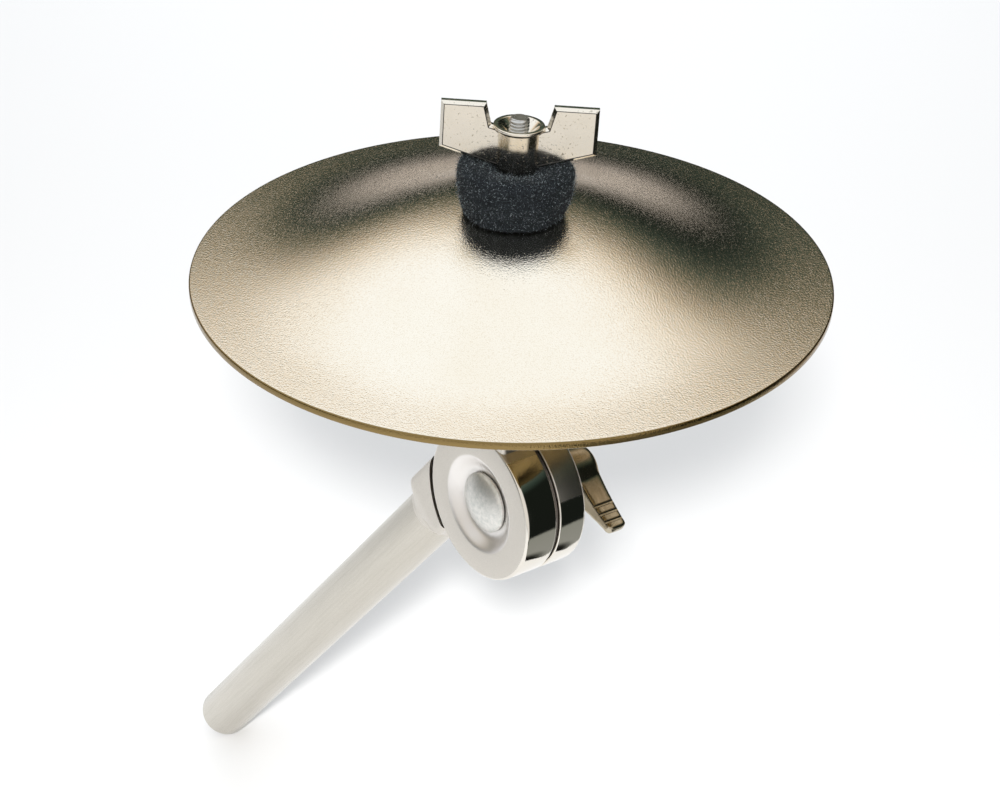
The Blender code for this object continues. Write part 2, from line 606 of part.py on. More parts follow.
def build_friction_disc(frame, material):
    bore = BOLT_DIAMETER + 2 * FIT_GAP
    half = SEAM_HALF - SEAT_GAP
    profile = tube_profile(bore, FRICTION_DISC_DIAMETER, -half, half)
    turned("friction_disc", profile, frame, material, CASTING_STEPS, ring=True, along_pivot=True)


def build_pivot_bolt(frame, material):
    """Domed head in the near disc's dish, a square under it, and a shank out to the clamp."""
    head = BOLT_HEAD_DIAMETER / 2
    edge = BOLT_HEAD_SEAT - BOLT_HEAD_EDGE
    radius = (head**2 + BOLT_DOME**2) / (2 * BOLT_DOME)
    spread = math.degrees(math.asin(head / radius))
    dome = arc(0.0, edge + radius - BOLT_DOME, radius, -90 + spread, -90, 6)
    shank = BOLT_DIAMETER / 2
    tip = CLAMP_PLACE + CLAMP_BORE_DEPTH - SEAT_GAP
    profile = [(0.0, tip), (shank - ROD_CHAMFER, tip), (shank, tip - ROD_CHAMFER)]
    profile += [(shank, BOLT_HEAD_SEAT), (head, BOLT_HEAD_SEAT), *dome]
    bolt = turned("pivot_bolt", profile, frame, material, CASTING_STEPS, along_pivot=True)
    reach = (BOLT_HEAD_SEAT - BOLT_HEAD_EDGE / 2, BOLT_HEAD_SEAT + BOLT_SQUARE_LENGTH)
    sides = (-BOLT_SQUARE / 2, BOLT_SQUARE / 2)
    combine(bolt, block("bolt_square", reach, sides, sides, frame), "UNION")


def build_bush(frame, material):
    bore = BOLT_DIAMETER + 2 * FIT_GAP
    profile = tube_profile(bore, BUSH_DIAMETER, SEAM_HALF + SEAT_GAP, FAR_HALF - SEAT_GAP)
    turned("pivot_bush", profile, frame, material, SMALL_STEPS, ring=True, along_pivot=True)


def build_clamp_washers(frame, steel, spring_steel):
    bore = BOLT_DIAMETER + 2 * FIT_GAP
    flat = tube_profile(bore, THRUST_WASHER_DIAMETER, THRUST_WASHER_PLACE, THRUST_WASHER_PLACE + THRUST_WASHER)
    turned("thrust_washer", flat, frame, steel, SMALL_STEPS, ring=True, along_pivot=True)
    wave = tube_profile(bore, WAVE_WASHER_DIAMETER, WAVE_WASHER_PLACE, WAVE_WASHER_PLACE + WAVE_WASHER)
    bm = spin_profile(wave, CASTING_STEPS, ring=True)
    for vert in bm.verts:
        vert.co.z += WAVE_HEIGHT * math.cos(3 * math.atan2(vert.co.y, vert.co.x))
    finish_mesh("wave_washer", lay_along_pivot(bm), frame, spring_steel)


def clamp_outline():
    """Outline of both clamp wings: (place across the pivot, place along it), with rounded tips."""
    tip = CLAMP_SPAN / 2
    root = CLAMP_PLACE + CLAMP_ROOT
    low = CLAMP_PLACE + CLAMP_TIP
    high = low + CLAMP_TIP_WIDTH
    crown = CLAMP_PLACE + CLAMP_HUB_HEIGHT
    half = [(CLAMP_HUB_TOP / 4, root), (tip - CLAMP_CORNER, low)]
    half += arc(tip - CLAMP_CORNER, low + CLAMP_CORNER, CLAMP_CORNER, -90, 0, 3)[1:]
    half += arc(tip - CLAMP_CORNER, high - CLAMP_CORNER, CLAMP_CORNER, 0, 90, 3)
    half += [(CLAMP_HUB_TOP / 4, crown - CLAMP_CROWN_INSET)]
    return half + [(-x, z) for x, z in reversed(half)]


def clamp_swell(across):
    """How many times thicker than its tip a clamp wing is, at this place across the pivot."""
    share = min(abs(across) / (CLAMP_SPAN / 2), 1.0)
    return 1 + (CLAMP_ROOT_THICKNESS / CLAMP_THICKNESS - 1) * (1 - share) ** CLAMP_FLARE


def build_clamp_wing(frame, material):
    """Clamp nut: a turned hub on the bolt's thread and two flat wings, ribbed for the fingers."""
    crown = CLAMP_PLACE + CLAMP_HUB_HEIGHT
    top = CLAMP_HUB_TOP / 2
    edge = CLAMP_CROWN_ROUND
    profile = [(0.0, crown), (top - 2 * edge, crown - edge / 8), *arc(top - edge, crown - edge, edge, 60, 0, 3)]
    profile += [(CLAMP_HUB_FOOT / 2, CLAMP_PLACE + CLAMP_ROOT / 2), (CLAMP_HUB_FOOT / 2, CLAMP_PLACE)]
    profile += [(0.0, CLAMP_PLACE)]
    clamp = turned("clamp_wing", profile, frame, material, SMALL_STEPS, along_pivot=True)
    stand_up = Matrix.Rotation(math.radians(90), 3, "Y")
    cuts = [side * share * CLAMP_SPAN / 2 for side in (1, -1) for share in CLAMP_FLARE_CUTS]
    wings = plate("clamp_wings", clamp_outline(), CLAMP_THICKNESS, CLAMP_BEVEL, frame, cuts)
    for vert in wings.data.vertices:
        vert.co.y *= clamp_swell(vert.co.x)
    wings.data.transform(stand_up.to_4x4())
    combine(clamp, wings, "UNION")
    bolt_room = rod_profile(BOLT_DIAMETER + 2 * FIT_GAP, CLAMP_PLACE - MM, CLAMP_PLACE + CLAMP_BORE_DEPTH)
    combine(clamp, turned("clamp_bore", bolt_room, frame, None, SMALL_STEPS, along_pivot=True), "DIFFERENCE")
    combine(clamp, clamp_grooves(frame), "DIFFERENCE")


def clamp_grooves(frame):
    """V grooves across both faces of both wings, near their tips."""
    bm = bmesh.new()
    middle = CLAMP_PLACE + CLAMP_TIP + CLAMP_TIP_WIDTH / 2
    for wing in (1, -1):
        for face in (1, -1):
            for count in range(GROOVE_COUNT):
                across = wing * (CLAMP_SPAN / 2 - GROOVE_PITCH * (count + 1))
                verts = bmesh.ops.create_cube(bm, size=1.0)["verts"]
                depth = GROOVE_DEPTH * math.sqrt(2)
                bmesh.ops.scale(bm, verts=verts, vec=(depth, depth, 2 * CLAMP_TIP_WIDTH))
                spin = Matrix.Rotation(math.radians(45), 3, "Z")
                bmesh.ops.rotate(bm, verts=verts, cent=(0.0, 0.0, 0.0), matrix=spin)
                place = (across, face * clamp_swell(across) * CLAMP_THICKNESS / 2, middle)
                bmesh.ops.translate(bm, verts=verts, vec=place)
    turn = Matrix.Rotation(math.radians(90), 3, "Y")
    bmesh.ops.rotate(bm, verts=bm.verts[:], cent=(0.0, 0.0, 0.0), matrix=turn)
    return finish_mesh("clamp_grooves", bm, frame, None)


def build_ice_bell():
    clear_scene()
    bronze = make_material("bell_bronze", (0.72, 0.55, 0.33), 0.34, 1.0)
    chrome = make_material("chrome", (0.80, 0.80, 0.79), 0.10, 1.0)
    satin_chrome = make_material("satin_chrome", (0.72, 0.72, 0.69), 0.42, 1.0)
    steel = make_material("zinc_steel", (0.60, 0.60, 0.58), 0.34, 1.0)
    spring_steel = make_material("spring_steel", (0.35, 0.35, 0.36), 0.38, 1.0)
    felt = make_material("black_felt", (0.028, 0.032, 0.040), 0.96, 0.0)
    nylon = make_material("black_nylon", (0.03, 0.03, 0.03), 0.45, 0.0)
    fibre = make_material("fibre_disc", (0.05, 0.045, 0.04), 0.80, 0.0)
    brass = make_material("bush_brass", (0.70, 0.54, 0.26), 0.36, 1.0)

    heading = Matrix.Rotation(math.radians(PIVOT_TURN), 4, "Z") @ Matrix.Rotation(math.radians(ROD_LEAN), 4, "Y")
    bend = Matrix.Rotation(math.radians(ARM_BEND), 4, "X")
    arm_end = heading @ bend @ Vector((ARM_MIDDLE, ARM_OFFSET, -ARM_REACH))
    pivot_matrix = Matrix.Translation(-arm_end) @ heading
    rod_matrix = pivot_matrix @ Matrix.Translation((ROD_OFFSET, 0.0, 0.0))
    bell_matrix = Matrix.Translation(rod_matrix @ Vector((0.0, 0.0, BELL_SEAT)))
    bell_from_rod = bell_matrix.inverted() @ rod_matrix
    nut_turn = Matrix.Rotation(math.radians(NUT_TURN), 4, "Z")
    clamp_turn = Matrix.Rotation(math.radians(CLAMP_TURN + 90), 4, "X")

    arm = make_frame("arm_frame", pivot_matrix @ bend)
    pivot = make_frame("pivot_frame", pivot_matrix)
    rod = make_frame("rod_frame", rod_matrix)
    bell = make_frame("bell_frame", bell_matrix)
    nut = make_frame("nut_frame", rod_matrix @ nut_turn)
    clamp = make_frame("clamp_frame", pivot_matrix @ clamp_turn)

    build_arm(arm, satin_chrome, nylon)
    build_roll_pin(arm, spring_steel)
    build_lower_casting(arm, chrome)
    build_bush(arm, brass)
    build_upper_casting(pivot, chrome)
    build_friction_disc(pivot, fibre)
    build_pivot_bolt(pivot, satin_chrome)
    build_clamp_washers(pivot, steel, spring_steel)
    build_clamp_wing(clamp, chrome)
    build_rod(rod, steel)
    build_lock_nut(rod, steel)
    build_seat_washer(rod, chrome)
    build_sleeve(rod, nylon)
    build_lower_felt(rod, bell_from_rod, felt)
    build_bell(bell, bronze)
    build_upper_felt(rod, bell_from_rod, felt)
    build_wing_nut(nut, chrome)


if __name__ == "__main__":
    build_ice_bell()
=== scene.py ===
"""Looks of an ice bell on its tilting mount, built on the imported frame.

Every sub-assembly of the object is a class with its sizes, and every finish is a small class of its own.
Sizes are in millimetres and are turned into metres when a piece is settled in its place.
"""

import logging
import math
import random
from dataclasses import dataclass, field
from enum import Enum
from typing import Iterable, Optional, Sequence

import bmesh
import bpy
from mathutils import Matrix, Vector, noise


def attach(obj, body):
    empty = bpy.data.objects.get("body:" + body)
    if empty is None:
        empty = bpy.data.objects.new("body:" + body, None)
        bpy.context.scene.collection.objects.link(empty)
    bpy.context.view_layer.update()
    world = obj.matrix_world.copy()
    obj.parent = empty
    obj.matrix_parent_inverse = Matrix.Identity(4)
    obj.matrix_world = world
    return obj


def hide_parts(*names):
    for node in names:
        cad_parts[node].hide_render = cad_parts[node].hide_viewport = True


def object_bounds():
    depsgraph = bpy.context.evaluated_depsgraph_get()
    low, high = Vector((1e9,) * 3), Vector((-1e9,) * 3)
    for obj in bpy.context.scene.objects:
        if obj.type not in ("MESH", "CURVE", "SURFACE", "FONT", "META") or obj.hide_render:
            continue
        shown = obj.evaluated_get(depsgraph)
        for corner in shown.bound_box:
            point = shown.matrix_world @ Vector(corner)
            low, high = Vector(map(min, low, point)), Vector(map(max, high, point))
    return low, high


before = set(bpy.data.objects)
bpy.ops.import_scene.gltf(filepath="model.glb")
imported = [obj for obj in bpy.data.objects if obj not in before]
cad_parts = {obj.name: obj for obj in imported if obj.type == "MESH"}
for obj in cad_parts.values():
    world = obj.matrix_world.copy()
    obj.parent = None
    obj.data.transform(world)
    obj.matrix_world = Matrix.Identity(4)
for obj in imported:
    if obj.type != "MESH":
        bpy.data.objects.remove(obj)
CAD_BOX = [list(corner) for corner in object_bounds()]

LOG = logging.getLogger("ice_bell")
MM = 0.001

Colour = tuple[float, float, float]
Point = tuple[float, float]
Corner = tuple[float, float, float]
Socket = bpy.types.NodeSocket
Shape = bmesh.types.BMesh

MIDDLE: Point = (0.3, 0.7)  # where most of a noise's values lie


class Body(Enum):
    """Bodies of the frame that pieces ride on."""

    ARM = "arm"
    HEAD = "head"
    CLAMP_WING = "clamp_wing"
    BELL = "bell"
    UPPER_FELT = "upper_felt"
    WING_NUT = "wing_nut"


class Slot(Enum):
    """Material slots of the record."""

    BRONZE = "bell_bronze"
    CHROME = "chrome"
    SATIN_CHROME = "satin_chrome"
    ZINC_STEEL = "zinc_steel"
    SPRING_STEEL = "spring_steel"
    FELT = "black_felt"
    NYLON = "black_nylon"
    FIBRE_DISC = "fibre_disc"
    BRASS = "bush_brass"


def turn(degrees: float, axis: str) -> Matrix:
    """A rotation about one of the main axes."""
    return Matrix.Rotation(math.radians(degrees), 4, axis)


def shift(x: float, y: float, z: float) -> Matrix:
    """A translation given in millimetres."""
    return Matrix.Translation(Vector((x, y, z)) * MM)


@dataclass(frozen=True)
class Setting:
    """How the mount is set, and the places that its pieces are built in.

    Angles are in degrees. Lengths are in millimetres, measured from the pivot.
    """

    pivot_turn: float = 37.7
    rod_lean: float = 2.9
    arm_bend: float = 38.2
    nut_turn: float = -38.5
    clamp_turn: float = -66.4
    arm_middle: float = -0.7
    arm_offset: float = 12.4
    arm_reach: float = 258.0
    rod_offset: float = -6.15
    bell_seat: float = 97.6

    @property
    def heading(self) -> Matrix:
        """The pivot's axis along X and the rod along Z, with no place yet."""
        return turn(self.pivot_turn, "Z") @ turn(self.rod_lean, "Y")

    @property
    def pivot(self) -> Matrix:
        """Place of the pivot, with the pivot's axis along X."""
        foot = self.heading @ turn(self.arm_bend, "X") @ shift(self.arm_middle, self.arm_offset, -self.arm_reach)
        return Matrix.Translation(-foot.translation) @ self.heading

    @property
    def arm(self) -> Matrix:
        """Place of the arm, with the arm's line along Z."""
        return self.pivot @ turn(self.arm_bend, "X")

    @property
    def rod(self) -> Matrix:
        """Place of the rod, with its axis along Z."""
        return self.pivot @ shift(self.rod_offset, 0.0, 0.0)

    @property
    def nut(self) -> Matrix:
        """Place of the wing nut, with its wings along X."""
        return self.rod @ turn(self.nut_turn, "Z")

    @property
    def clamp(self) -> Matrix:
        """Place of the clamp, with its wings along Z."""
        return self.pivot @ turn(self.clamp_turn, "X")

    @property
    def bell(self) -> Matrix:
        """Place of the bell's seat, the middle of its lower face."""
        return Matrix.Translation((self.rod @ shift(0.0, 0.0, self.bell_seat)).translation)


SETTING = Setting()


class Tree:
    """A node tree, with short names for the nodes that the looks use."""

    def __init__(self, tree: bpy.types.NodeTree) -> None:
        """Start on a tree."""
        self.nodes = tree.nodes
        self.links = tree.links

    def wire(self, source: Socket, target: Socket) -> None:
        """Join two sockets."""
        self.links.new(source, target)

    def node(self, kind: str, outlet: str | int, inputs: dict[str | int, object], **settings: str) -> Socket:
        """Add a node.

        Args:
            kind: Type of the node, without the word that all the types start with.
            outlet: Output that is handed back.
            inputs: Sockets or plain values for the node's inputs.
            settings: Settings of the node itself.

        Returns:
            The output's socket.
        """
        node = self.nodes.new(f"ShaderNode{kind}")
        for name, value in settings.items():
            setattr(node, name, value)
        for name, value in inputs.items():
            if isinstance(value, Socket):
                self.wire(value, node.inputs[name])
            else:
                node.inputs[name].default_value = value
        return node.outputs[outlet]

    def along(self, vector: Socket, axis: str) -> Socket:
        """Distance along one axis."""
        return self.node("SeparateXYZ", axis, {0: vector})

    def dot(self, vector: Socket, other: Sequence[float]) -> Socket:
        """Dot product with a fixed vector."""
        return self.node("VectorMath", "Value", {0: vector, 1: other}, operation="DOT_PRODUCT")

    def spread(self, value: Socket, source: Point, target: Point = (0.0, 1.0), kind: str = "LINEAR") -> Socket:
        """A value mapped from one range to another, and kept inside it."""
        ends = dict(zip(("From Min", "From Max", "To Min", "To Max"), (*source, *target)))
        return self.node("MapRange", "Result", {"Value": value, **ends}, interpolation_type=kind)

    def blend(self, share: Socket, low: Colour | Socket, high: Colour | Socket) -> Socket:
        """A colour between two others, through the mix node's inputs and output for colours."""
        first, second = [(*end, 1.0) if isinstance(end, tuple) else end for end in (low, high)]
        return self.node("Mix", 2, {"Factor": share, 6: first, 7: second}, data_type="RGBA")

    def combine(self, kind: str, first: Socket, second: Socket | float) -> Socket:
        """Arithmetic on two values, by the name of the operation."""
        return self.node("Math", 0, {0: first, 1: second}, operation=kind)


class Bench(Tree):
    """One material's node tree, lined up with a piece's own axes."""

    def __init__(self, name: str, place: Optional[Matrix] = None) -> None:
        """Start a material.

        Args:
            name: Name of the material.
            place: Place whose own axes the object coordinates follow, if any are needed.
        """
        self.material = bpy.data.materials.new(name)
        self.material.use_nodes = True
        super().__init__(self.material.node_tree)
        self.shader = self.nodes["Principled BSDF"]
        self.place = place
        if place is not None:
            back = place.inverted()
            own = {"Vector": self.node("TexCoord", "Object", {}), "Location": back.translation}
            self.here = self.node("Mapping", "Vector", {**own, "Rotation": back.to_euler()})

    def fixed(self, **values: object) -> None:
        """Set plain values on the shader, with underscores for the spaces in a socket's name."""
        for name, value in values.items():
            socket = self.shader.inputs[name.replace("_", " ")]
            socket.default_value = (*value, 1.0) if isinstance(value, tuple) else value

    def stretched(self, vector: Socket, by: Corner) -> Socket:
        """Coordinates scaled along each axis."""
        return self.node("VectorMath", 0, {0: vector, 1: by}, operation="MULTIPLY")

    def radius(self, vector: Socket) -> Socket:
        """Distance from the Z axis."""
        return self.node("VectorMath", "Value", {0: self.stretched(vector, (1.0, 1.0, 0.0))}, operation="LENGTH")

    def facing(self) -> Socket:
        """How far the surface faces along the place's own Z axis, from -1 to 1, at any pose of the piece."""
        change = {"vector_type": "NORMAL", "convert_from": "WORLD", "convert_to": "OBJECT"}
        own = self.node("VectorTransform", 0, {0: self.node("NewGeometry", "True Normal", {})}, **change)
        return self.dot(own, self.place.to_3x3().col[2])

    def grain(self, vector: Socket, size: float, detail: float = 2.0, rough: float = 0.5) -> Socket:
        """Noise whose spots are about this many millimetres across.

        Args:
            vector: Coordinates.
            size: Size of a spot in millimetres.
            detail: Octaves of finer noise.
            rough: Strength of the finer noise.

        Returns:
            The noise's value, from 0 to 1.
        """
        look = {"Scale": 1.0 / (size * MM), "Detail": detail, "Roughness": rough}
        return self.node("TexNoise", "Fac", {**look, "Vector": vector})

    def rings(self, radius: Socket, pitch: float) -> Socket:
        """Uneven turning marks round an axis, about this many millimetres apart."""
        look = {"Scale": 1.0 / (pitch * MM), "Detail": 3.0, "W": radius}
        return self.node("TexNoise", "Fac", look, noise_dimensions="1D")

    def lerp(self, share: Socket, low: Socket, high: float) -> Socket:
        """A value between another and a plain number."""
        return self.node("Mix", "Result", {"Factor": share, "A": low, "B": high})

    def bump(self, height: Socket, depth: float, strength: float = 1.0, under: Optional[Socket] = None) -> Socket:
        """Small relief, this many millimetres deep, on top of another if one is given."""
        below = {} if under is None else {"Normal": under}
        return self.node("Bump", "Normal", {"Distance": depth * MM, "Strength": strength, "Height": height, **below})

    def dress(
        self,
        colour: Socket,
        roughness: Optional[Socket] = None,
        normal: Optional[Socket] = None,
        **plain: float,
    ) -> None:
        """Wire colour, roughness and relief to the shader, and set its plain values."""
        self.fixed(**plain)
        for name, socket in (("Base Color", colour), ("Roughness", roughness), ("Normal", normal)):
            if socket is not None:
                self.wire(socket, self.shader.inputs[name])


class Finish:
    """What every finish has and can do."""

    slot: Slot
    name: str

    def material(self, place: Matrix) -> bpy.types.Material:
        """The finish as a material, lined up with a piece's own axes."""
        bench = Bench(self.name, place)
        self.paint(bench, bench.here)
        return bench.material

    def paint(self, bench: Bench, here: Socket) -> None:
        """Lay the finish on a bench's shader, by its coordinates."""
        raise NotImplementedError


@dataclass(frozen=True)
class BlastedBronze(Finish):
    """Bronze blasted with fine beads: satin, with grain and faint spinning marks, and painted shade on the rounded
    edge and the underside.
    """

    slot: Slot = Slot.BRONZE
    name: str = "blasted bronze"
    light: Colour = (0.945, 0.890, 0.785)
    dark: Colour = (0.915, 0.845, 0.720)
    # Painted shade: the dark colour laid on the rounded rim and on the faces that look down.
    under: Colour = (0.250, 0.175, 0.070)
    painted_shade_from: Point = (-0.30, 0.10)
    speck: Colour = (0.640, 0.520, 0.350)
    speck_share: float = 0.28
    rim_radius: float = 94.75
    rim_blur: float = 0.15
    grain_size: float = 0.46
    grain_depth: float = 0.09
    patch_size: float = 30.0
    ring_pitch: float = 5.5
    ring_depth: float = 0.05
    gloss: Point = (0.09, 0.15)

    def paint(self, bench: Bench, here: Socket) -> None:
        """Lay the bronze, lined up with the bell's axis."""
        radius = bench.radius(here)
        patches = bench.grain(here, self.patch_size, 3.0, 0.55)
        grain = bench.grain(here, self.grain_size, 1.0)
        specks = bench.grain(here, self.grain_size * 0.9, 1.0)
        # Painted shade on the rounded rim and on the downward faces, in the bell's own axes.
        rim_painted_shade = bench.spread(radius, (self.rim_radius * MM, (self.rim_radius + self.rim_blur) * MM))
        below = bench.spread(bench.facing(), self.painted_shade_from, (1.0, 0.0))
        colour = bench.blend(bench.spread(patches, MIDDLE), self.dark, self.light)
        colour = bench.blend(bench.spread(specks, (0.50, 0.70), (0.0, self.speck_share)), colour, self.speck)
        colour = bench.blend(bench.combine("MAXIMUM", rim_painted_shade, below), colour, self.under)
        relief = bench.bump(bench.rings(radius, self.ring_pitch), self.ring_depth, 0.22)
        relief = bench.bump(grain, self.grain_depth, 1.0, relief)
        bench.dress(colour, bench.spread(grain, (0.25, 0.75), self.gloss), relief, Metallic=1.0)


@dataclass(frozen=True)
class Chrome(Finish):
    """Bright chrome plate on a casting: a slow ripple, fine wiping marks and a little dullness in patches."""

    slot: Slot = Slot.CHROME
    name: str = "chrome plate"
    colour: Colour = (0.770, 0.735, 0.670)
    stain: Colour = (0.690, 0.660, 0.600)
    gloss: Point = (0.045, 0.10)
    ripple: float = 0.03
    ripple_size: float = 7.0
    wiping_size: float = 2.4
    pits: float = 0.0
    pit_size: float = 0.9
    pitted: Colour = (0.340, 0.300, 0.230)

    def paint(self, bench: Bench, here: Socket) -> None:
        """Lay the plate, with its pits if it has any."""
        patches = bench.grain(here, self.ripple_size * 0.8, 4.0, 0.6)
        wiping = bench.grain(bench.stretched(here, (1.0, 1.0, 7.0)), self.wiping_size, 3.0, 0.6)
        colour = bench.blend(bench.spread(patches, (0.45, 0.75), (0.0, 0.6)), self.colour, self.stain)
        relief = bench.bump(bench.grain(here, self.ripple_size, 1.0), self.ripple, 0.6)
        if self.pits:
            marks = bench.spread(bench.grain(here, self.pit_size, 3.0, 0.7), (0.62, 0.72), (1.0, 0.0))
            relief = bench.bump(marks, self.pits, 0.6, relief)
            colour = bench.blend(marks, self.pitted, colour)
        bench.dress(colour, bench.spread(wiping, (0.3, 0.75), self.gloss), relief, Metallic=1.0)


@dataclass(frozen=True)
class CastHalf(Finish):
    """Chrome on a half of the tilter: the disc's turned side is bright, and the faces and the neck are satin."""

    slot: Slot = Slot.CHROME
    name: str = "cast chrome"
    bright: Colour = (0.770, 0.735, 0.670)
    satin: Colour = (0.660, 0.625, 0.570)
    grain_colour: Colour = (0.560, 0.530, 0.480)
    # Painted highlight: the dish's plate is painted paler than the rest of the plate; its roughness is the dish's own
    # finish.
    dished: Colour = (0.850, 0.825, 0.800)
    bright_gloss: float = 0.055
    satin_gloss: Point = (0.27, 0.36)
    dish_gloss: float = 0.42
    dish: float = 15.8
    dish_blur: float = 0.6
    rim: float = 25.0
    side: Point = (-12.25, 10.3)
    neck: float = 21.5
    grain_size: float = 0.35
    patch_size: float = 5.0

    def material(self, place: Matrix) -> bpy.types.Material:
        """The finish as a material, lined up with the pivot's axis."""
        return super().material(place @ turn(90.0, "Y"))

    def paint(self, bench: Bench, here: Socket) -> None:
        """Lay a bright band round the pivot's axis, satin on the rest, and a rougher plate in the dish whose paler
        colour is a painted highlight.
        """
        radius = bench.radius(here)
        along = bench.along(here, "Z")
        low, high = self.side
        steps = [
            (radius, self.rim - 1.1, 0.08, 0.0, 1.0),
            (radius, self.rim + 0.2, 0.2, 1.0, 0.0),
            (along, low, 0.05, 0.0, 1.0),
            (along, high, 0.3, 1.0, 0.0),
            (bench.along(here, "X"), -self.neck, 0.5, 0.0, 1.0),
        ]
        band = None
        for value, start, width, before, after in steps:
            step = bench.spread(value, (start * MM, (start + width) * MM), (before, after))
            band = step if band is None else bench.combine("MULTIPLY", band, step)
        grain = bench.grain(here, self.grain_size, 3.0, 0.65)
        satin = bench.blend(bench.spread(grain, (0.40, 0.70), (0.0, 0.8)), self.satin, self.grain_colour)
        # In the dish: a rougher plate, painted paler as a painted highlight.
        in_dish = bench.spread(radius, (self.dish * MM, (self.dish + self.dish_blur) * MM), (1.0, 0.0))
        colour = bench.blend(band, bench.blend(in_dish, satin, self.dished), self.bright)
        rough = bench.lerp(in_dish, bench.spread(grain, MIDDLE, self.satin_gloss), self.dish_gloss)
        rough = bench.lerp(band, rough, self.bright_gloss)
        patches = bench.grain(here, self.patch_size, 3.0, 0.6)
        relief = bench.bump(patches, 0.03, 0.35, bench.bump(grain, 0.02, 0.35))
        bench.dress(colour, rough, relief, Metallic=1.0)


@dataclass(frozen=True)
class SatinChrome(Finish):
    """Chrome plate over a brushed or tumbled surface."""

    slot: Slot = Slot.SATIN_CHROME
    name: str = "satin chrome"
    colour: Colour = (0.700, 0.665, 0.600)
    stain: Colour = (0.610, 0.580, 0.515)
    satin: Point = (0.17, 0.27)
    lines: Corner = (1.0, 1.0, 0.03)
    line_size: float = 0.7
    line_share: float = 0.7
    speckle_size: float = 0.5
    depth: float = 0.012

    def paint(self, bench: Bench, here: Socket) -> None:
        """Lay the plate, its lines along the piece's Z axis."""
        lines = bench.grain(bench.stretched(here, self.lines), self.line_size, 3.0, 0.6)
        speckle = bench.grain(here, self.speckle_size, 4.0, 0.7)
        streaks = bench.combine("MULTIPLY", bench.spread(lines, (0.35, 0.60)), self.line_share)
        marks = bench.combine("MAXIMUM", bench.spread(speckle, (0.40, 0.70)), streaks)
        colour = bench.blend(marks, self.colour, self.stain)
        bench.dress(colour, bench.spread(lines, MIDDLE, self.satin), bench.bump(lines, self.depth, 0.5), Metallic=1.0)


@dataclass(frozen=True)
class Turned(Finish):
    """Metal with turning marks round the piece's Z axis."""

    slot: Slot
    name: str
    colour: Colour
    worn: Colour
    gloss: Point
    pitch: float = 0.35
    depth: float = 0.012
    patch_size: float = 3.0

    def paint(self, bench: Bench, here: Socket) -> None:
        """Lay the metal, worn in patches, with its marks round the Z axis."""
        marks = bench.rings(bench.radius(here), self.pitch)
        patches = bench.grain(here, self.patch_size, 4.0, 0.6)
        colour = bench.blend(bench.spread(patches, (0.4, 0.7)), self.colour, self.worn)
        bench.dress(colour, bench.spread(marks, MIDDLE, self.gloss), bench.bump(marks, self.depth, 0.5), Metallic=1.0)


@dataclass(frozen=True)
class Wool(Finish):
    """Pressed wool felt: near black, with matted spots of a slightly paler grey."""

    slot: Slot = Slot.FELT
    name: str = "wool felt"
    deep: Colour = (0.003, 0.004, 0.005)
    top: Colour = (0.018, 0.022, 0.026)
    spot: float = 0.9
    depth: float = 0.5

    def paint(self, bench: Bench, here: Socket) -> None:
        """Lay the matted spots, in clumps."""
        mat = bench.grain(bench.stretched(here, (1.0, 1.0, 2.2)), self.spot, 5.0, 0.7)
        clumps = bench.grain(here, self.spot * 5.0)
        share = bench.combine("MULTIPLY", bench.spread(mat, (0.35, 0.7)), clumps)
        colour = bench.blend(bench.spread(share, (0.0, 0.6)), self.deep, self.top)
        bench.dress(colour, None, bench.bump(mat, self.depth, 0.9), Roughness=0.97, Specular_IOR_Level=0.2)


@dataclass(frozen=True)
class Nap(Finish):
    """Loose wool fibres, from near black to pale grey."""

    slot: Slot = Slot.FELT
    name: str = "wool nap"
    deep: Colour = (0.007, 0.009, 0.011)
    pale: Colour = (0.360, 0.420, 0.450)
    spot: float = 0.6

    def paint(self, bench: Bench, here: Socket) -> None:
        """Lay a shade on each fibre by where it grows."""
        colour = bench.blend(bench.spread(bench.grain(here, self.spot), (0.52, 0.70)), self.deep, self.pale)
        bench.dress(colour, Roughness=0.9, Specular_IOR_Level=0.2)


@dataclass(frozen=True)
class Mottled(Finish):
    """A finely mottled surface, moulded, pressed or tumbled."""

    slot: Slot
    name: str
    colour: Colour
    pale: Colour
    gloss: Point
    spot: float = 0.6
    finer: Point = (3.0, 0.6)
    reach: Point = (0.4, 0.75)
    depth: float = 0.03
    metallic: float = 0.0

    def paint(self, bench: Bench, here: Socket) -> None:
        """Lay the spots."""
        spots = bench.grain(here, self.spot, *self.finer)
        colour = bench.blend(bench.spread(spots, self.reach), self.colour, self.pale)
        rough = bench.spread(spots, MIDDLE, self.gloss)
        bench.dress(colour, rough, bench.bump(spots, self.depth, 0.5), Metallic=self.metallic)


ZINC = Turned(Slot.ZINC_STEEL, "zinc plated steel", (0.640, 0.640, 0.620), (0.520, 0.515, 0.500), (0.24, 0.38))
SPRING = Turned(Slot.SPRING_STEEL, "dark spring steel", (0.350, 0.350, 0.360), (0.260, 0.250, 0.250), (0.30, 0.46))
BRASS = Turned(Slot.BRASS, "turned brass", (0.700, 0.540, 0.260), (0.600, 0.450, 0.210), (0.26, 0.40))
CHROME_TURNED = Turned(Slot.CHROME, "turned chrome", (0.820, 0.815, 0.800), (0.740, 0.735, 0.720), (0.05, 0.14))
NYLON = Mottled(Slot.NYLON, "black nylon", (0.026, 0.026, 0.027), (0.050, 0.050, 0.052), (0.38, 0.55))
FIBRE = Mottled(Slot.FIBRE_DISC, "pressed fibre", (0.045, 0.040, 0.036), (0.090, 0.078, 0.066), (0.70, 0.90))
TUMBLED = Mottled(
    Slot.SATIN_CHROME,
    "tumbled plate",
    (0.800, 0.785, 0.750),
    (0.640, 0.650, 0.620),
    (0.34, 0.5),
    spot=1.5,
    finer=(4.0, 0.65),
    reach=(0.35, 0.65),
    depth=0.04,
    metallic=1.0,
)


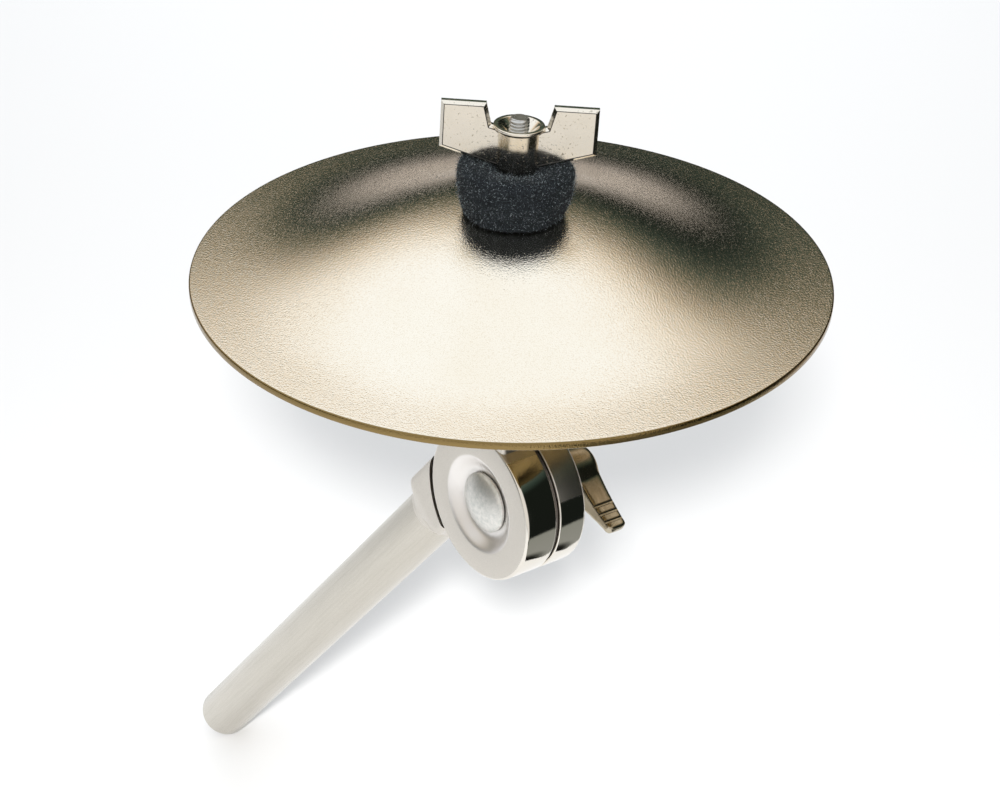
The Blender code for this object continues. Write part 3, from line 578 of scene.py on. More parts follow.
def filleted(corners: Sequence[Corner], segments: int = 5) -> list[Point]:
    """A profile whose corners are rounded.

    Args:
        corners: Radius, height and rounding of each corner, in order.
        segments: Steps in each rounding.

    Returns:
        The profile's points.
    """
    points: list[Point] = []
    for index, (radius, height, rounding) in enumerate(corners):
        if rounding <= 0.0 or index in (0, len(corners) - 1):
            points.append((radius, height))
            continue
        here = Vector((radius, height))
        before = (Vector(corners[index - 1][:2]) - here).normalized()
        after = (Vector(corners[index + 1][:2]) - here).normalized()
        half = before.angle(after) / 2
        reach = rounding / math.tan(half)
        centre = here + (before + after).normalized() * (rounding / math.sin(half))
        start = here + before * reach - centre
        swing = start.angle_signed(here + after * reach - centre)
        for step in range(segments + 1):
            spoke = start.copy()
            spoke.rotate(Matrix.Rotation(-swing * step / segments, 2))
            points.append(tuple(centre + spoke))
    return points


def put_in_order(bm: Shape) -> None:
    """Sort the faces by their corners. Spinning leaves them in another order each run, and random draws go by it."""
    bm.verts.index_update()
    faces = sorted(bm.faces, key=lambda face: [vert.index for vert in face.verts])
    ranks = {face: rank for rank, face in enumerate(faces)}
    bm.faces.sort(key=ranks.get)


def lathe(profile: Sequence[Point], steps: int, ring: bool = False) -> Shape:
    """A profile of (radius, height) points turned round the Z axis.

    Args:
        profile: Points of the profile.
        steps: Facets in a full turn.
        ring: Whether the profile is a closed loop.

    Returns:
        The turned shape.
    """
    bm = bmesh.new()
    verts = [bm.verts.new((radius, 0.0, height)) for radius, height in profile]
    pairs = list(zip(verts, verts[1:]))
    if ring:
        pairs.append((verts[-1], verts[0]))
    edges = [bm.edges.new(pair) for pair in pairs]
    bmesh.ops.spin(
        bm,
        geom=verts + edges,
        cent=(0.0, 0.0, 0.0),
        axis=(0.0, 0.0, 1.0),
        angle=2 * math.pi,
        steps=steps,
        use_merge=True,
    )
    bmesh.ops.remove_doubles(bm, verts=bm.verts[:], dist=0.0005)
    bmesh.ops.recalc_face_normals(bm, faces=bm.faces[:])
    put_in_order(bm)
    return bm


def moved(bm: Shape, matrix: Matrix) -> Shape:
    """The same shape, moved within its millimetre space."""
    bm.transform(matrix)
    return bm


def along_pivot(bm: Shape) -> Shape:
    """The same shape, laid from the Z axis on to the X axis."""
    return moved(bm, turn(90.0, "Y"))


def joined(shapes: Iterable[Shape]) -> Shape:
    """Several closed shapes in one mesh."""
    whole = bmesh.new()
    for shape in shapes:
        spare = bpy.data.meshes.new("spare")
        shape.to_mesh(spare)
        shape.free()
        whole.from_mesh(spare)
        bpy.data.meshes.remove(spare)
    return whole


def oblong(half_x: float, half_y: float, power: float, count: int) -> list[Point]:
    """Points round an oblong whose corners are rounder at a lower power."""
    points = []
    for step in range(count):
        angle = 2 * math.pi * step / count
        across = abs(math.cos(angle)) / half_x
        along = abs(math.sin(angle)) / half_y
        reach = (across**power + along**power) ** (-1 / power)
        points.append((reach * math.cos(angle), reach * math.sin(angle)))
    return points


def loft(sections: Sequence[Sequence[float]], count: int) -> Shape:
    """A closed shape through oblong sections.

    Args:
        sections: Centre x, centre y, height, half x, half y and power of each section.
        count: Points round a section.

    Returns:
        The lofted shape.
    """
    bm = bmesh.new()
    loops = []
    for centre_x, centre_y, height, half_x, half_y, power in sections:
        outline = oblong(half_x, half_y, power, count)
        verts = [bm.verts.new((centre_x + x, centre_y + y, height)) for x, y in outline]
        loops.append([bm.edges.new(pair) for pair in zip(verts, verts[1:] + verts[:1])])
        if len(loops) in (1, len(sections)):
            bm.faces.new(verts)
    for lower, upper in zip(loops, loops[1:]):
        bmesh.ops.bridge_loops(bm, edges=lower + upper)
    bmesh.ops.recalc_face_normals(bm, faces=bm.faces[:])
    return bm


def cylinder(radius: float, low: float, high: float, steps: int) -> Shape:
    """A plain cylinder on the Z axis."""
    return lathe([(0.0, low), (radius, low), (radius, high), (0.0, high)], steps)


def skin(bm: Shape, loops: Sequence[Sequence[bmesh.types.BMVert]]) -> None:
    """Stretch faces over loops of corners, and close both ends."""
    for lower, upper in zip(loops, loops[1:]):
        for a in range(len(lower)):
            b = (a + 1) % len(lower)
            bm.faces.new((lower[a], lower[b], upper[b], upper[a]))
    bm.faces.new(reversed(loops[0]))
    bm.faces.new(loops[-1])


def plate(outline: Sequence[Point], thickness: float, rounding: float, segments: int = 4) -> Shape:
    """A flat plate in the XZ plane, centred on it.

    Args:
        outline: Its corners.
        thickness: Its thickness along Y.
        rounding: Width of the rounding or chamfer along its edges.
        segments: Steps in the rounding. One makes a chamfer.

    Returns:
        The plate.
    """
    bm = bmesh.new()
    face = bm.faces.new([bm.verts.new((x, -thickness / 2, z)) for x, z in outline])
    grown = bmesh.ops.extrude_face_region(bm, geom=[face])
    far = [item for item in grown["geom"] if isinstance(item, bmesh.types.BMVert)]
    bmesh.ops.translate(bm, verts=far, vec=(0.0, thickness, 0.0))
    bmesh.ops.recalc_face_normals(bm, faces=bm.faces[:])
    flat = [edge for edge in bm.edges if abs(edge.verts[0].co.y - edge.verts[1].co.y) < 0.01]
    bmesh.ops.bevel(bm, geom=flat, offset=rounding, segments=segments, profile=0.5, affect="EDGES")
    bm.normal_update()
    return bm


def stand(name: str, bm: Shape) -> bpy.types.Object:
    """Put a shape into the scene as an object. The shape itself is used up."""
    mesh = bpy.data.meshes.new(name)
    bm.to_mesh(mesh)
    bm.free()
    piece = bpy.data.objects.new(name, mesh)
    bpy.context.scene.collection.objects.link(piece)
    return piece


def worked(blanks: Sequence[bpy.types.Object]) -> Shape:
    """The first blank's shape after its modifiers. All the blanks are taken out of the scene."""
    bpy.context.view_layer.update()
    shaped = blanks[0].evaluated_get(bpy.context.evaluated_depsgraph_get())
    result = bmesh.new()
    result.from_mesh(shaped.to_mesh())
    shaped.to_mesh_clear()
    for blank in blanks:
        mesh = blank.data
        bpy.data.objects.remove(blank, do_unlink=True)
        bpy.data.meshes.remove(mesh)
    return result


def carved(bm: Shape, cutters: Iterable[Shape]) -> Shape:
    """A shape with others cut out of it."""
    blanks = [stand(f"blank_{index}", shape) for index, shape in enumerate((bm, *cutters))]
    for cutter in blanks[1:]:
        boolean = blanks[0].modifiers.new("cut", "BOOLEAN")
        boolean.operation = "DIFFERENCE"
        boolean.solver = "EXACT"
        boolean.object = cutter
    return worked(blanks)


def cast(bm: Shape, voxel: float, rounds: int) -> Shape:
    """Overlapping shapes run together into one skin, as in a casting.

    Args:
        bm: The shapes.
        voxel: Size of the skin's cells, in millimetres.
        rounds: Rounds of smoothing.

    Returns:
        The skin.
    """
    blank = stand("cast_blank", bm)
    remesh = blank.modifiers.new("skin", "REMESH")
    remesh.mode = "VOXEL"
    remesh.voxel_size = voxel
    result = worked([blank])
    axes = {f"use_axis_{axis}": True for axis in "xyz"}
    for _ in range(rounds):
        bmesh.ops.smooth_vert(result, verts=result.verts[:], factor=0.5, **axes)
    return result


def settle(
    name: str,
    bm: Shape,
    place: Matrix,
    finish: Finish,
    body: Body,
    nodes: Sequence[str] = (),
    sharp: float = 40.0,
) -> bpy.types.Object:
    """Turn a shape into a finished piece.

    Args:
        name: Name of the piece.
        bm: Its shape, in millimetres and in the place's own axes.
        place: Where the shape stands.
        finish: Its finish.
        body: Body that it rides on.
        nodes: Nodes of the frame that it stands for.
        sharp: Edges with a larger bend than this stay sharp, in degrees.

    Returns:
        The piece, with its origin at the world's.
    """
    bm.transform(place @ Matrix.Scale(MM, 4))
    bmesh.ops.recalc_face_normals(bm, faces=bm.faces[:])
    piece = stand(name, bm)
    mesh = piece.data
    mesh.shade_smooth()
    mesh.set_sharp_from_angle(angle=math.radians(sharp))
    mesh.materials.append(finish.material(place))
    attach(piece, body.value)
    if nodes:
        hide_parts(*nodes)
    LOG.info("%s: %d faces on %s", name, len(mesh.polygons), body.value)
    return piece


def dress_node(node: str, finish: Finish, place: Matrix) -> None:
    """Give a finish to a solid of the frame that stays as it is."""
    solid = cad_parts[node]
    material = finish.material(place)
    if not solid.material_slots:
        solid.data.materials.append(material)
    for slot in solid.material_slots:
        slot.material = material
    LOG.info("%s: dressed as it is", node)


@dataclass
class BellPlate:
    """The spun bronze bell."""

    diameter: float = 190.5
    wall: float = 2.35
    hole: float = 12.7
    rim_round: float = 0.5
    flange_rise: float = 4.6
    flange_power: float = 2.18
    crown_rise: float = 15.4
    crown_power: float = 2.72
    crown_fall: float = 4.06
    rows: int = 96
    steps: int = 240
    finish: Finish = field(default_factory=BlastedBronze)

    def height(self, radius: float) -> float:
        """Height of the upper face over the rim's plane."""
        share = min(radius / (self.diameter / 2), 1.0)
        flange = self.flange_rise * (1 - share**self.flange_power)
        crown = self.crown_rise * (1 - share**self.crown_power) ** self.crown_fall
        return flange + crown

    def upper_face(self, radius: float) -> float:
        """Height of the upper face over the bell's seat."""
        return self.height(radius) - self.height(0.0) + self.wall

    def build(self) -> None:
        """Spin the bell: one smooth wall from the hole out to a rounded rim."""
        rim = self.diameter / 2
        hole = self.hole / 2
        last = rim - self.rim_round
        radii = [hole + (last - hole) * row / self.rows for row in range(self.rows + 1)]
        upper = [(radius, self.upper_face(radius)) for radius in radii]
        lower = [(radius, height - self.wall) for radius, height in reversed(upper)]
        top = self.upper_face(last) - self.rim_round
        foot = self.upper_face(last) - self.wall + self.rim_round
        edge = []
        for centre, start in ((top, 90.0), (foot, 0.0)):
            for step in range(1, 6):
                angle = math.radians(start - 18.0 * step)
                edge.append((last + self.rim_round * math.cos(angle), centre + self.rim_round * math.sin(angle)))
        bm = lathe(upper + edge + lower, self.steps, ring=True)
        settle("bell_plate", bm, SETTING.bell, self.finish, Body.BELL, ["bell"])


@dataclass
class FeltWasher:
    """A thick felt washer that takes the bell's shape, with loose fibres on it."""

    name: str
    body: Body
    nodes: Sequence[str]
    bell: BellPlate
    diameter: float
    foot_diameter: float
    low: float
    high: float
    rounding: float
    bore: float = 9.8
    dent: float = 0.0
    dent_diameter: float = 12.9
    sink: float = 0.0
    rests_below_bell: bool = False
    seat_gap: float = 0.3
    lump: float = 0.35
    fibres: int = 14000
    fibre_length: Point = (0.5, 2.0)
    fibre_radius: float = 0.026
    finish: Finish = field(default_factory=Wool)
    nap: Finish = field(default_factory=Nap)

    def profile(self) -> list[Point]:
        """Half section: bore, foot, bellied side, rounded crest and the dented top."""
        outer = self.diameter / 2
        foot = self.foot_diameter / 2
        bore = self.bore / 2
        recess = self.dent_diameter / 2
        belly = self.low + (self.high - self.low) * 0.52
        floor = self.high - self.dent - self.sink
        corners = [(bore, floor, 0.0), (bore, self.low, 0.0), (foot, self.low, 1.2), (outer, belly, 3.0)]
        corners += [(outer, self.high, self.rounding)]
        if self.dent:
            corners += [((outer + recess) / 2, self.high - self.dent * 0.2, 2.0)]
            corners += [(recess + 0.3, self.high - self.dent, 0.5), (recess, floor, 0.0)]
        corners += [(bore, floor, 0.0)]
        return filleted(corners[:-1] if self.dent else corners, 6)

    def finer(self, profile: Sequence[Point], pitch: float = 0.45) -> list[Point]:
        """The same profile with points about this far apart."""
        points = []
        for (r0, z0), (r1, z1) in zip(profile, [*profile[1:], profile[0]]):
            count = max(1, round(math.hypot(r1 - r0, z1 - z0) / pitch))
            points += [(r0 + (r1 - r0) * i / count, z0 + (z1 - z0) * i / count) for i in range(count)]
        return points

    def press(self, bm: Shape) -> None:
        """Press the face that meets the bell on to the bell's own curve."""
        to_bell = Matrix.Scale(1 / MM, 4) @ SETTING.bell.inverted() @ SETTING.rod @ Matrix.Scale(MM, 4)
        level = self.high if self.rests_below_bell else self.low
        span = (self.high - self.low) * 0.5
        for vert in bm.verts:
            share = 1 - min(abs(vert.co.z - level) / span, 1.0)
            if share <= 0.0:
                continue
            spot = to_bell @ Vector((vert.co.x, vert.co.y, level))
            target = self.bell.upper_face(math.hypot(spot.x, spot.y))
            target += -self.bell.wall - self.seat_gap if self.rests_below_bell else self.seat_gap
            vert.co.z += (target - spot.z) * share

    def roughen(self, bm: Shape) -> None:
        """Give the felt its lumps and the small dents of wear."""
        bm.normal_update()
        for vert in bm.verts:
            if math.hypot(vert.co.x, vert.co.y) < self.bore / 2 + 0.3:
                continue
            slow = noise.noise(vert.co * 0.16)
            quick = noise.noise(vert.co * 0.9 + Vector((7.0, 3.0, 1.0)))
            vert.co += vert.normal * (self.lump * slow + self.lump * 0.35 * quick - self.lump * 0.3)

    def fibre(self, bm: Shape, spot: Vector, normal: Vector, chance: random.Random) -> None:
        """One curved fibre, three-sided and tapering."""
        drift = Vector([chance.uniform(-1.0, 1.0) for _ in range(3)])
        lean = (normal * chance.uniform(0.15, 0.8) + drift - normal * drift.dot(normal)).normalized()
        bend = Vector([chance.uniform(-0.8, 0.8) for _ in range(3)])
        reach = chance.uniform(*self.fibre_length) * chance.uniform(0.4, 1.0)
        side = lean.orthogonal().normalized()
        other = lean.cross(side)
        loops = []
        for step in range(4):
            share = step / 3
            centre = spot + lean * reach * share + bend * reach * 0.45 * share * share - normal * 0.1 * (1 - share)
            wide = self.fibre_radius * (1 - 0.6 * share)
            ring = []
            for corner in range(3):
                angle = 2 * math.pi * corner / 3
                ring.append(bm.verts.new(centre + (side * math.cos(angle) + other * math.sin(angle)) * wide))
            loops.append(ring)
        skin(bm, loops)

    def build_nap(self, body: Shape) -> Shape:
        """Fibres that stand out of the felt's open faces."""
        chance = random.Random(11)
        body.normal_update()
        clear = self.dent_diameter / 2 - 0.2 if self.dent else self.diameter / 2 - 0.8
        open_faces = []
        for face in body.faces:
            middle = face.calc_center_median()
            out = math.hypot(middle.x, middle.y)
            side = abs(face.normal.z) < 0.75 and out > self.bore / 2 + 1.5
            crest = self.dent and face.normal.z > 0.5 and out > clear
            if side or crest:
                open_faces.append(face)
        areas = [face.calc_area() for face in open_faces]
        nap = bmesh.new()
        for face in chance.choices(open_faces, weights=areas, k=self.fibres):
            corners = [vert.co for vert in face.verts]
            weights = [chance.random() for _ in corners]
            spot = sum((corner * weight for corner, weight in zip(corners, weights)), Vector()) / sum(weights)
            self.fibre(nap, spot, face.normal.copy(), chance)
        return nap

    def build(self) -> None:
        """Build the felt and its nap."""
        bm = lathe(self.finer(self.profile()), 150, ring=True)
        self.press(bm)
        self.roughen(bm)
        nap = self.build_nap(bm)
        felt = settle(self.name, bm, SETTING.rod, self.finish, self.body, self.nodes, 80.0)
        settle(f"{self.name}_nap", nap, SETTING.rod, self.nap, self.body)


@dataclass
class ThumbNut:
    """The chromed wing nut on top."""

    foot: float = 112.25
    height: float = 14.9
    hub_top: float = 12.4
    hub_foot: float = 11.8
    lip_diameter: float = 15.0
    lip: float = 0.7
    dish_diameter: float = 12.2
    dish_depth: float = 2.8
    bore: float = 6.6
    span: float = 45.4
    rise: float = 6.3
    notch: float = 19.4
    notch_foot: float = 16.0
    drop: float = 7.9
    wing_foot: float = 114.25
    thickness: float = 3.2
    chamfer: float = 0.85
    line: float = 0.16
    line_depth: float = 0.6
    sharp: float = 25.0
    finish: Finish = Chrome(
        colour=(0.860, 0.805, 0.710),
        stain=(0.800, 0.745, 0.640),
        gloss=(0.10, 0.17),
        pits=0.06,
    )
    # Near-black finish for the walls of the line round each wing's face: painted shade in the groove.
    groove: Finish = Turned(
        Slot.CHROME,
        "painted shade in the line round the wings",
        (0.090, 0.085, 0.080),
        (0.050, 0.048, 0.045),
        (0.35, 0.50),
    )

    def hub(self) -> Shape:
        """The turned hub with its lip and dished top."""
        top = self.foot + self.height
        lip = self.lip_diameter / 2
        corners = [
            (self.bore / 2, self.foot + 2.0, 0.0),
            (self.bore / 2, self.foot, 0.2),
            (self.hub_foot / 2, self.foot, 0.4),
            (self.hub_top / 2, top - 2.2 * self.lip, 0.6),
            (lip, top - self.lip * 1.2, 0.3),
            (lip, top, 0.3),
            (self.dish_diameter / 2, top, 0.3),
            (self.bore / 2 + 0.5, top - self.dish_depth, 0.4),
            (self.bore / 2, top - self.dish_depth - 0.4, 0.0),
        ]
        return lathe(filleted(corners), 96, ring=True)

    def wing(self, side: int) -> Shape:
        """One flat wing, with chamfered edges and a fine line round each face."""
        top = self.foot + self.height
        tip = self.span / 2
        root = (self.bore + self.hub_foot) / 4
        outline = [(root, self.wing_foot), (self.hub_foot / 2 + 0.4, self.wing_foot)]
        outline += [(tip, top - self.drop), (tip, top + self.rise), (self.notch / 2, top + self.rise)]
        outline += [(self.notch_foot / 2, top - 0.2), (self.hub_top / 2, top - self.lip), (root, top - 2.2)]
        bm = plate([(side * x, z) for x, z in outline], self.thickness, self.chamfer, 1)
        flats = [face for face in bm.faces if abs(face.normal.y) > 0.99]
        walls = []
        for depth in (-self.line * self.line_depth, self.line * self.line_depth):
            walls += bmesh.ops.inset_individual(bm, faces=flats, thickness=self.line, depth=depth)["faces"]
        # The line's walls take the second material, painted shade in the groove.
        for face in walls:
            face.material_index = 1
        return bm

    def build(self) -> None:
        """Build the nut in one casting."""
        bm = joined([self.hub(), self.wing(1), self.wing(-1)])
        nut = settle("thumb_nut", bm, SETTING.nut, self.finish, Body.WING_NUT, ["wing_nut"], self.sharp)
        # Second material: the painted shade in the line round the wings.
        nut.data.materials.append(self.groove.material(SETTING.nut))


@dataclass
class Spindle:
    """The rod with its thread, and the washer, sleeve and lock nut on it."""

    diameter: float = 9.5
    thread_diameter: float = 6.0
    pitch: float = 1.0
    depth: float = 0.55
    foot: float = 30.3
    shoulder: float = 84.4
    tip: float = 129.35
    cut_length: float = 18.0
    chamfer: float = 0.6
    thread_rows: int = 14
    thread_steps: int = 56
    nut_across: float = 17.0
    nut_foot: float = 46.3
    nut_height: float = 5.0
    nut_sharp: float = 25.0
    cup_foot: float = 84.7
    cup_wall: float = 1.5
    cup_radius: float = 18.2
    cup_lip: float = 2.2
    cup_bore: float = 3.3
    finish: Finish = ZINC
    dished: Finish = CHROME_TURNED
    plastic: Finish = NYLON

    def thread(self) -> Shape:
        """The upper end of the thread, cut as a real helix and tapered at the tip."""
        low = self.tip - self.cut_length
        rows = round(self.cut_length / self.pitch * self.thread_rows)
        steps = self.thread_steps
        crest = self.thread_diameter / 2
        bm = bmesh.new()
        loops = []
        for row in range(rows + 1):
            height = low + self.cut_length * row / rows
            loop = []
            for step in range(steps):
                phase = (height / self.pitch - step / steps) % 1.0
                groove = max(0.0, 1.0 - abs(phase - 0.5) * 2.35)
                radius = crest - self.depth * groove
                radius = min(radius, crest - self.chamfer + (self.tip - height))
                angle = 2 * math.pi * step / steps
                loop.append(bm.verts.new((radius * math.cos(angle), radius * math.sin(angle), height)))
            loops.append(loop)
        skin(bm, loops)
        return bm

    def shank(self) -> Shape:
        """The plain rod and the part of the thread that the sleeve covers."""
        body = self.diameter / 2
        core = self.thread_diameter / 2 - 0.1
        corners = [
            (0.0, self.tip - self.cut_length + 0.5, 0.0),
            (core, self.tip - self.cut_length + 0.5, 0.0),
            (core, self.shoulder, 0.0),
            (body, self.shoulder, 0.5),
            (body, self.foot, 0.5),
            (0.0, self.foot, 0.0),
        ]
        return lathe(filleted(corners), 72)

    def lock_nut(self) -> Shape:
        """A hexagon nut with its corners turned off at the upper end."""
        across, low, thick = self.nut_across, self.nut_foot, self.nut_height
        corner = across / math.sqrt(3)
        bm = bmesh.new()
        bmesh.ops.create_cone(bm, cap_ends=True, segments=6, radius1=corner, radius2=corner, depth=thick)
        moved(bm, Matrix.Translation((0.0, 0.0, low + thick / 2)))
        hole = cylinder(self.diameter / 2 + 0.3, low - 1.0, low + thick + 1.0, 72)
        outside = [(across / 2 - 0.4, low + thick + 0.5), (corner + 0.9, low + thick - 1.1)]
        outside += [(corner + 2.0, low + thick - 1.1), (corner + 2.0, low + thick + 0.5)]
        return carved(bm, [hole, lathe(outside, 72, ring=True)])

    def seat_washer(self) -> Shape:
        """A flat cup with a rounded rim, under the lower felt."""
        low, thick, outer = self.cup_foot, self.cup_wall, self.cup_radius
        lip, bore = self.cup_lip, self.cup_bore
        corners = [
            (bore, low + thick, 0.0),
            (bore, low, 0.3),
            (outer, low, 1.45),
            (outer, low + thick + lip, 0.35),
            (outer - thick, low + thick + lip, 0.35),
            (outer - thick, low + thick, 0.5),
            (bore + 0.01, low + thick, 0.0),
        ]
        return lathe(filleted(corners, 6), 120, ring=True)

    def build(self) -> None:
        """Build the rod and what stands still on it."""
        rod = joined([self.thread(), self.shank()])
        settle("spindle", rod, SETTING.rod, self.finish, Body.HEAD, ["cymbal_rod"])
        settle("lock_nut", self.lock_nut(), SETTING.rod, self.finish, Body.HEAD, ["rod_lock_nut"], self.nut_sharp)
        settle("cup_washer", self.seat_washer(), SETTING.rod, self.dished, Body.HEAD, ["seat_washer"])
        dress_node("rod_sleeve", self.plastic, SETTING.rod)


@dataclass
class Tilter:
    """The two halves of the tilter, with their necks, and what is clamped between them."""

    diameter: float = 50.0
    near_half: float = 12.3
    far_half: float = 10.9
    seam: float = 0.7
    edge_round: float = 1.1
    seam_round: float = 0.45
    dish: float = 33.2
    dish_floor: float = 21.6
    dish_depth: float = 3.3
    bowl_steps: int = 18
    bolt_hole: float = 8.6
    neck_width: float = 20.0
    neck_power: float = 12.0
    boss: float = 17.0
    boss_height: float = 46.0
    boss_straight: float = 8.0
    collar: float = 21.2
    collar_end: float = 38.5
    bush_bore: float = 6.3
    rod_socket: float = 5.05
    arm_socket: float = 9.825
    pocket_gap: float = 1.3
    pocket_floor: float = 0.95
    sharp: float = 32.0
    rows: int = 26
    steps: int = 128
    finish: Finish = field(default_factory=CastHalf)
    fibre: Finish = FIBRE
    brass: Finish = BRASS

    def bowl(self) -> list[Corner]:
        """Profile of the dish, running softly out of the face and into its floor."""
        outer, inner = self.dish / 2, self.dish_floor / 2
        points = []
        for step in range(self.bowl_steps + 1):
            share = step / self.bowl_steps
            depth = self.dish_depth * share * share * (3 - 2 * share)
            points.append((outer + (inner - outer) * share, -self.near_half + depth, 0.0))
        return points

    def near_disc(self) -> Shape:
        """The near disc, with the dish round the bolt's head."""
        rim = self.diameter / 2
        floor = -self.near_half + self.dish_depth
        corners = [
            (self.bolt_hole / 2, -self.seam - 1.0, 0.0),
            (self.bolt_hole / 2, -self.seam, 0.2),
            (rim, -self.seam, self.seam_round),
            (rim, -self.near_half, self.edge_round),
            *self.bowl(),
            (self.bolt_hole / 2, floor, 0.2),
            (self.bolt_hole / 2, floor + 1.0, 0.0),
        ]
        return along_pivot(lathe(filleted(corners), self.steps, ring=True))

    def far_disc(self) -> Shape:
        """The far disc, bored for the bush."""
        rim = self.diameter / 2
        bore = self.bush_bore
        corners = [
            (bore, self.seam + 1.0, 0.0),
            (bore, self.seam, 0.2),
            (rim, self.seam, self.seam_round),
            (rim, self.far_half, self.edge_round),
            (bore, self.far_half, 0.3),
            (bore, self.far_half - 1.0, 0.0),
        ]
        return along_pivot(lathe(filleted(corners), self.steps, ring=True))

    def neck(
        self,
        start: Point,
        end: Point,
        heights: Sequence[float],
        half: Point,
        collar: float,
        rounding: float,
    ) -> Shape:
        """A neck that turns from an oblong into a round collar.

        Args:
            start: Middle of the oblong end.
            end: Middle of the round end.
            heights: Foot of the oblong, where it ends, where the round starts and where that ends.
            half: Half width and half depth of the oblong.
            collar: Radius of the round.
            rounding: Rounding of the collar's edge.

        Returns:
            The neck.
        """
        foot, square_end, round_start, top = heights
        sign = math.copysign(1.0, top - foot)
        sections = [(*start, foot, *half, self.neck_power)]
        for row in range(self.rows + 1):
            share = row / self.rows
            ease = share * share * (3 - 2 * share)
            centre = [a + (b - a) * ease for a, b in zip(start, end)]
            height = square_end + (round_start - square_end) * share
            power = self.neck_power ** (1 - ease) * 2.0**ease
            size = [side + (collar - side) * ease for side in half]
            sections.append((*centre, height, *size, power))
        for step in range(6):
            angle = math.radians(18.0 * step)
            radius = collar - rounding * (1 - math.cos(angle))
            height = top - sign * rounding * (1 - math.sin(angle))
            sections.append((*end, height, radius, radius, 2.0))
        return loft(sections, 112)

    def upper_neck(self) -> Shape:
        """The neck and boss that hold the rod."""
        half = ((self.near_half - self.seam) / 2 - 0.25, self.neck_width / 2)
        heights = (20.5, 30.0, self.boss_height - self.boss_straight, self.boss_height)
        middle = -(self.near_half + self.seam) / 2
        neck = self.neck((middle, 0.0), (SETTING.rod_offset, 0.0), heights, half, self.boss / 2, 0.8)
        socket = cylinder(self.rod_socket, 30.0, 48.0, 72)
        return carved(neck, [moved(socket, Matrix.Translation((SETTING.rod_offset, 0.0, 0.0)))])

    def lower_neck(self) -> Shape:
        """The neck behind both discs, hollowed for the near one, with the arm's collar."""
        half = ((self.near_half + self.far_half) / 2 - 0.25, self.collar / 2)
        middle = (SETTING.arm_middle, SETTING.arm_offset)
        heights = (-8.0, -30.0, -self.collar_end + 1.6, -self.collar_end)
        neck = self.neck(middle, middle, heights, half, self.collar / 2, 0.4)
        pocket = cylinder(self.diameter / 2 + self.pocket_gap, -self.near_half - 1.0, self.pocket_floor, self.steps)
        socket = moved(cylinder(self.arm_socket, -40.0, -27.7, 96), Matrix.Translation((*middle, 0.0)))
        return carved(neck, [along_pivot(pocket), socket])

    def build(self) -> None:
        """Build both halves and the disc between them."""
        near = joined([self.near_disc(), self.upper_neck()])
        settle("near_half", near, SETTING.pivot, self.finish, Body.HEAD, ["upper_casting"], self.sharp)
        far = joined([self.far_disc(), self.lower_neck()])
        settle("far_half", far, SETTING.arm, self.finish, Body.ARM, ["lower_casting"], self.sharp)
        dress_node("friction_disc", self.fibre, SETTING.pivot)
        dress_node("pivot_bush", self.brass, SETTING.pivot @ turn(90.0, "Y"))


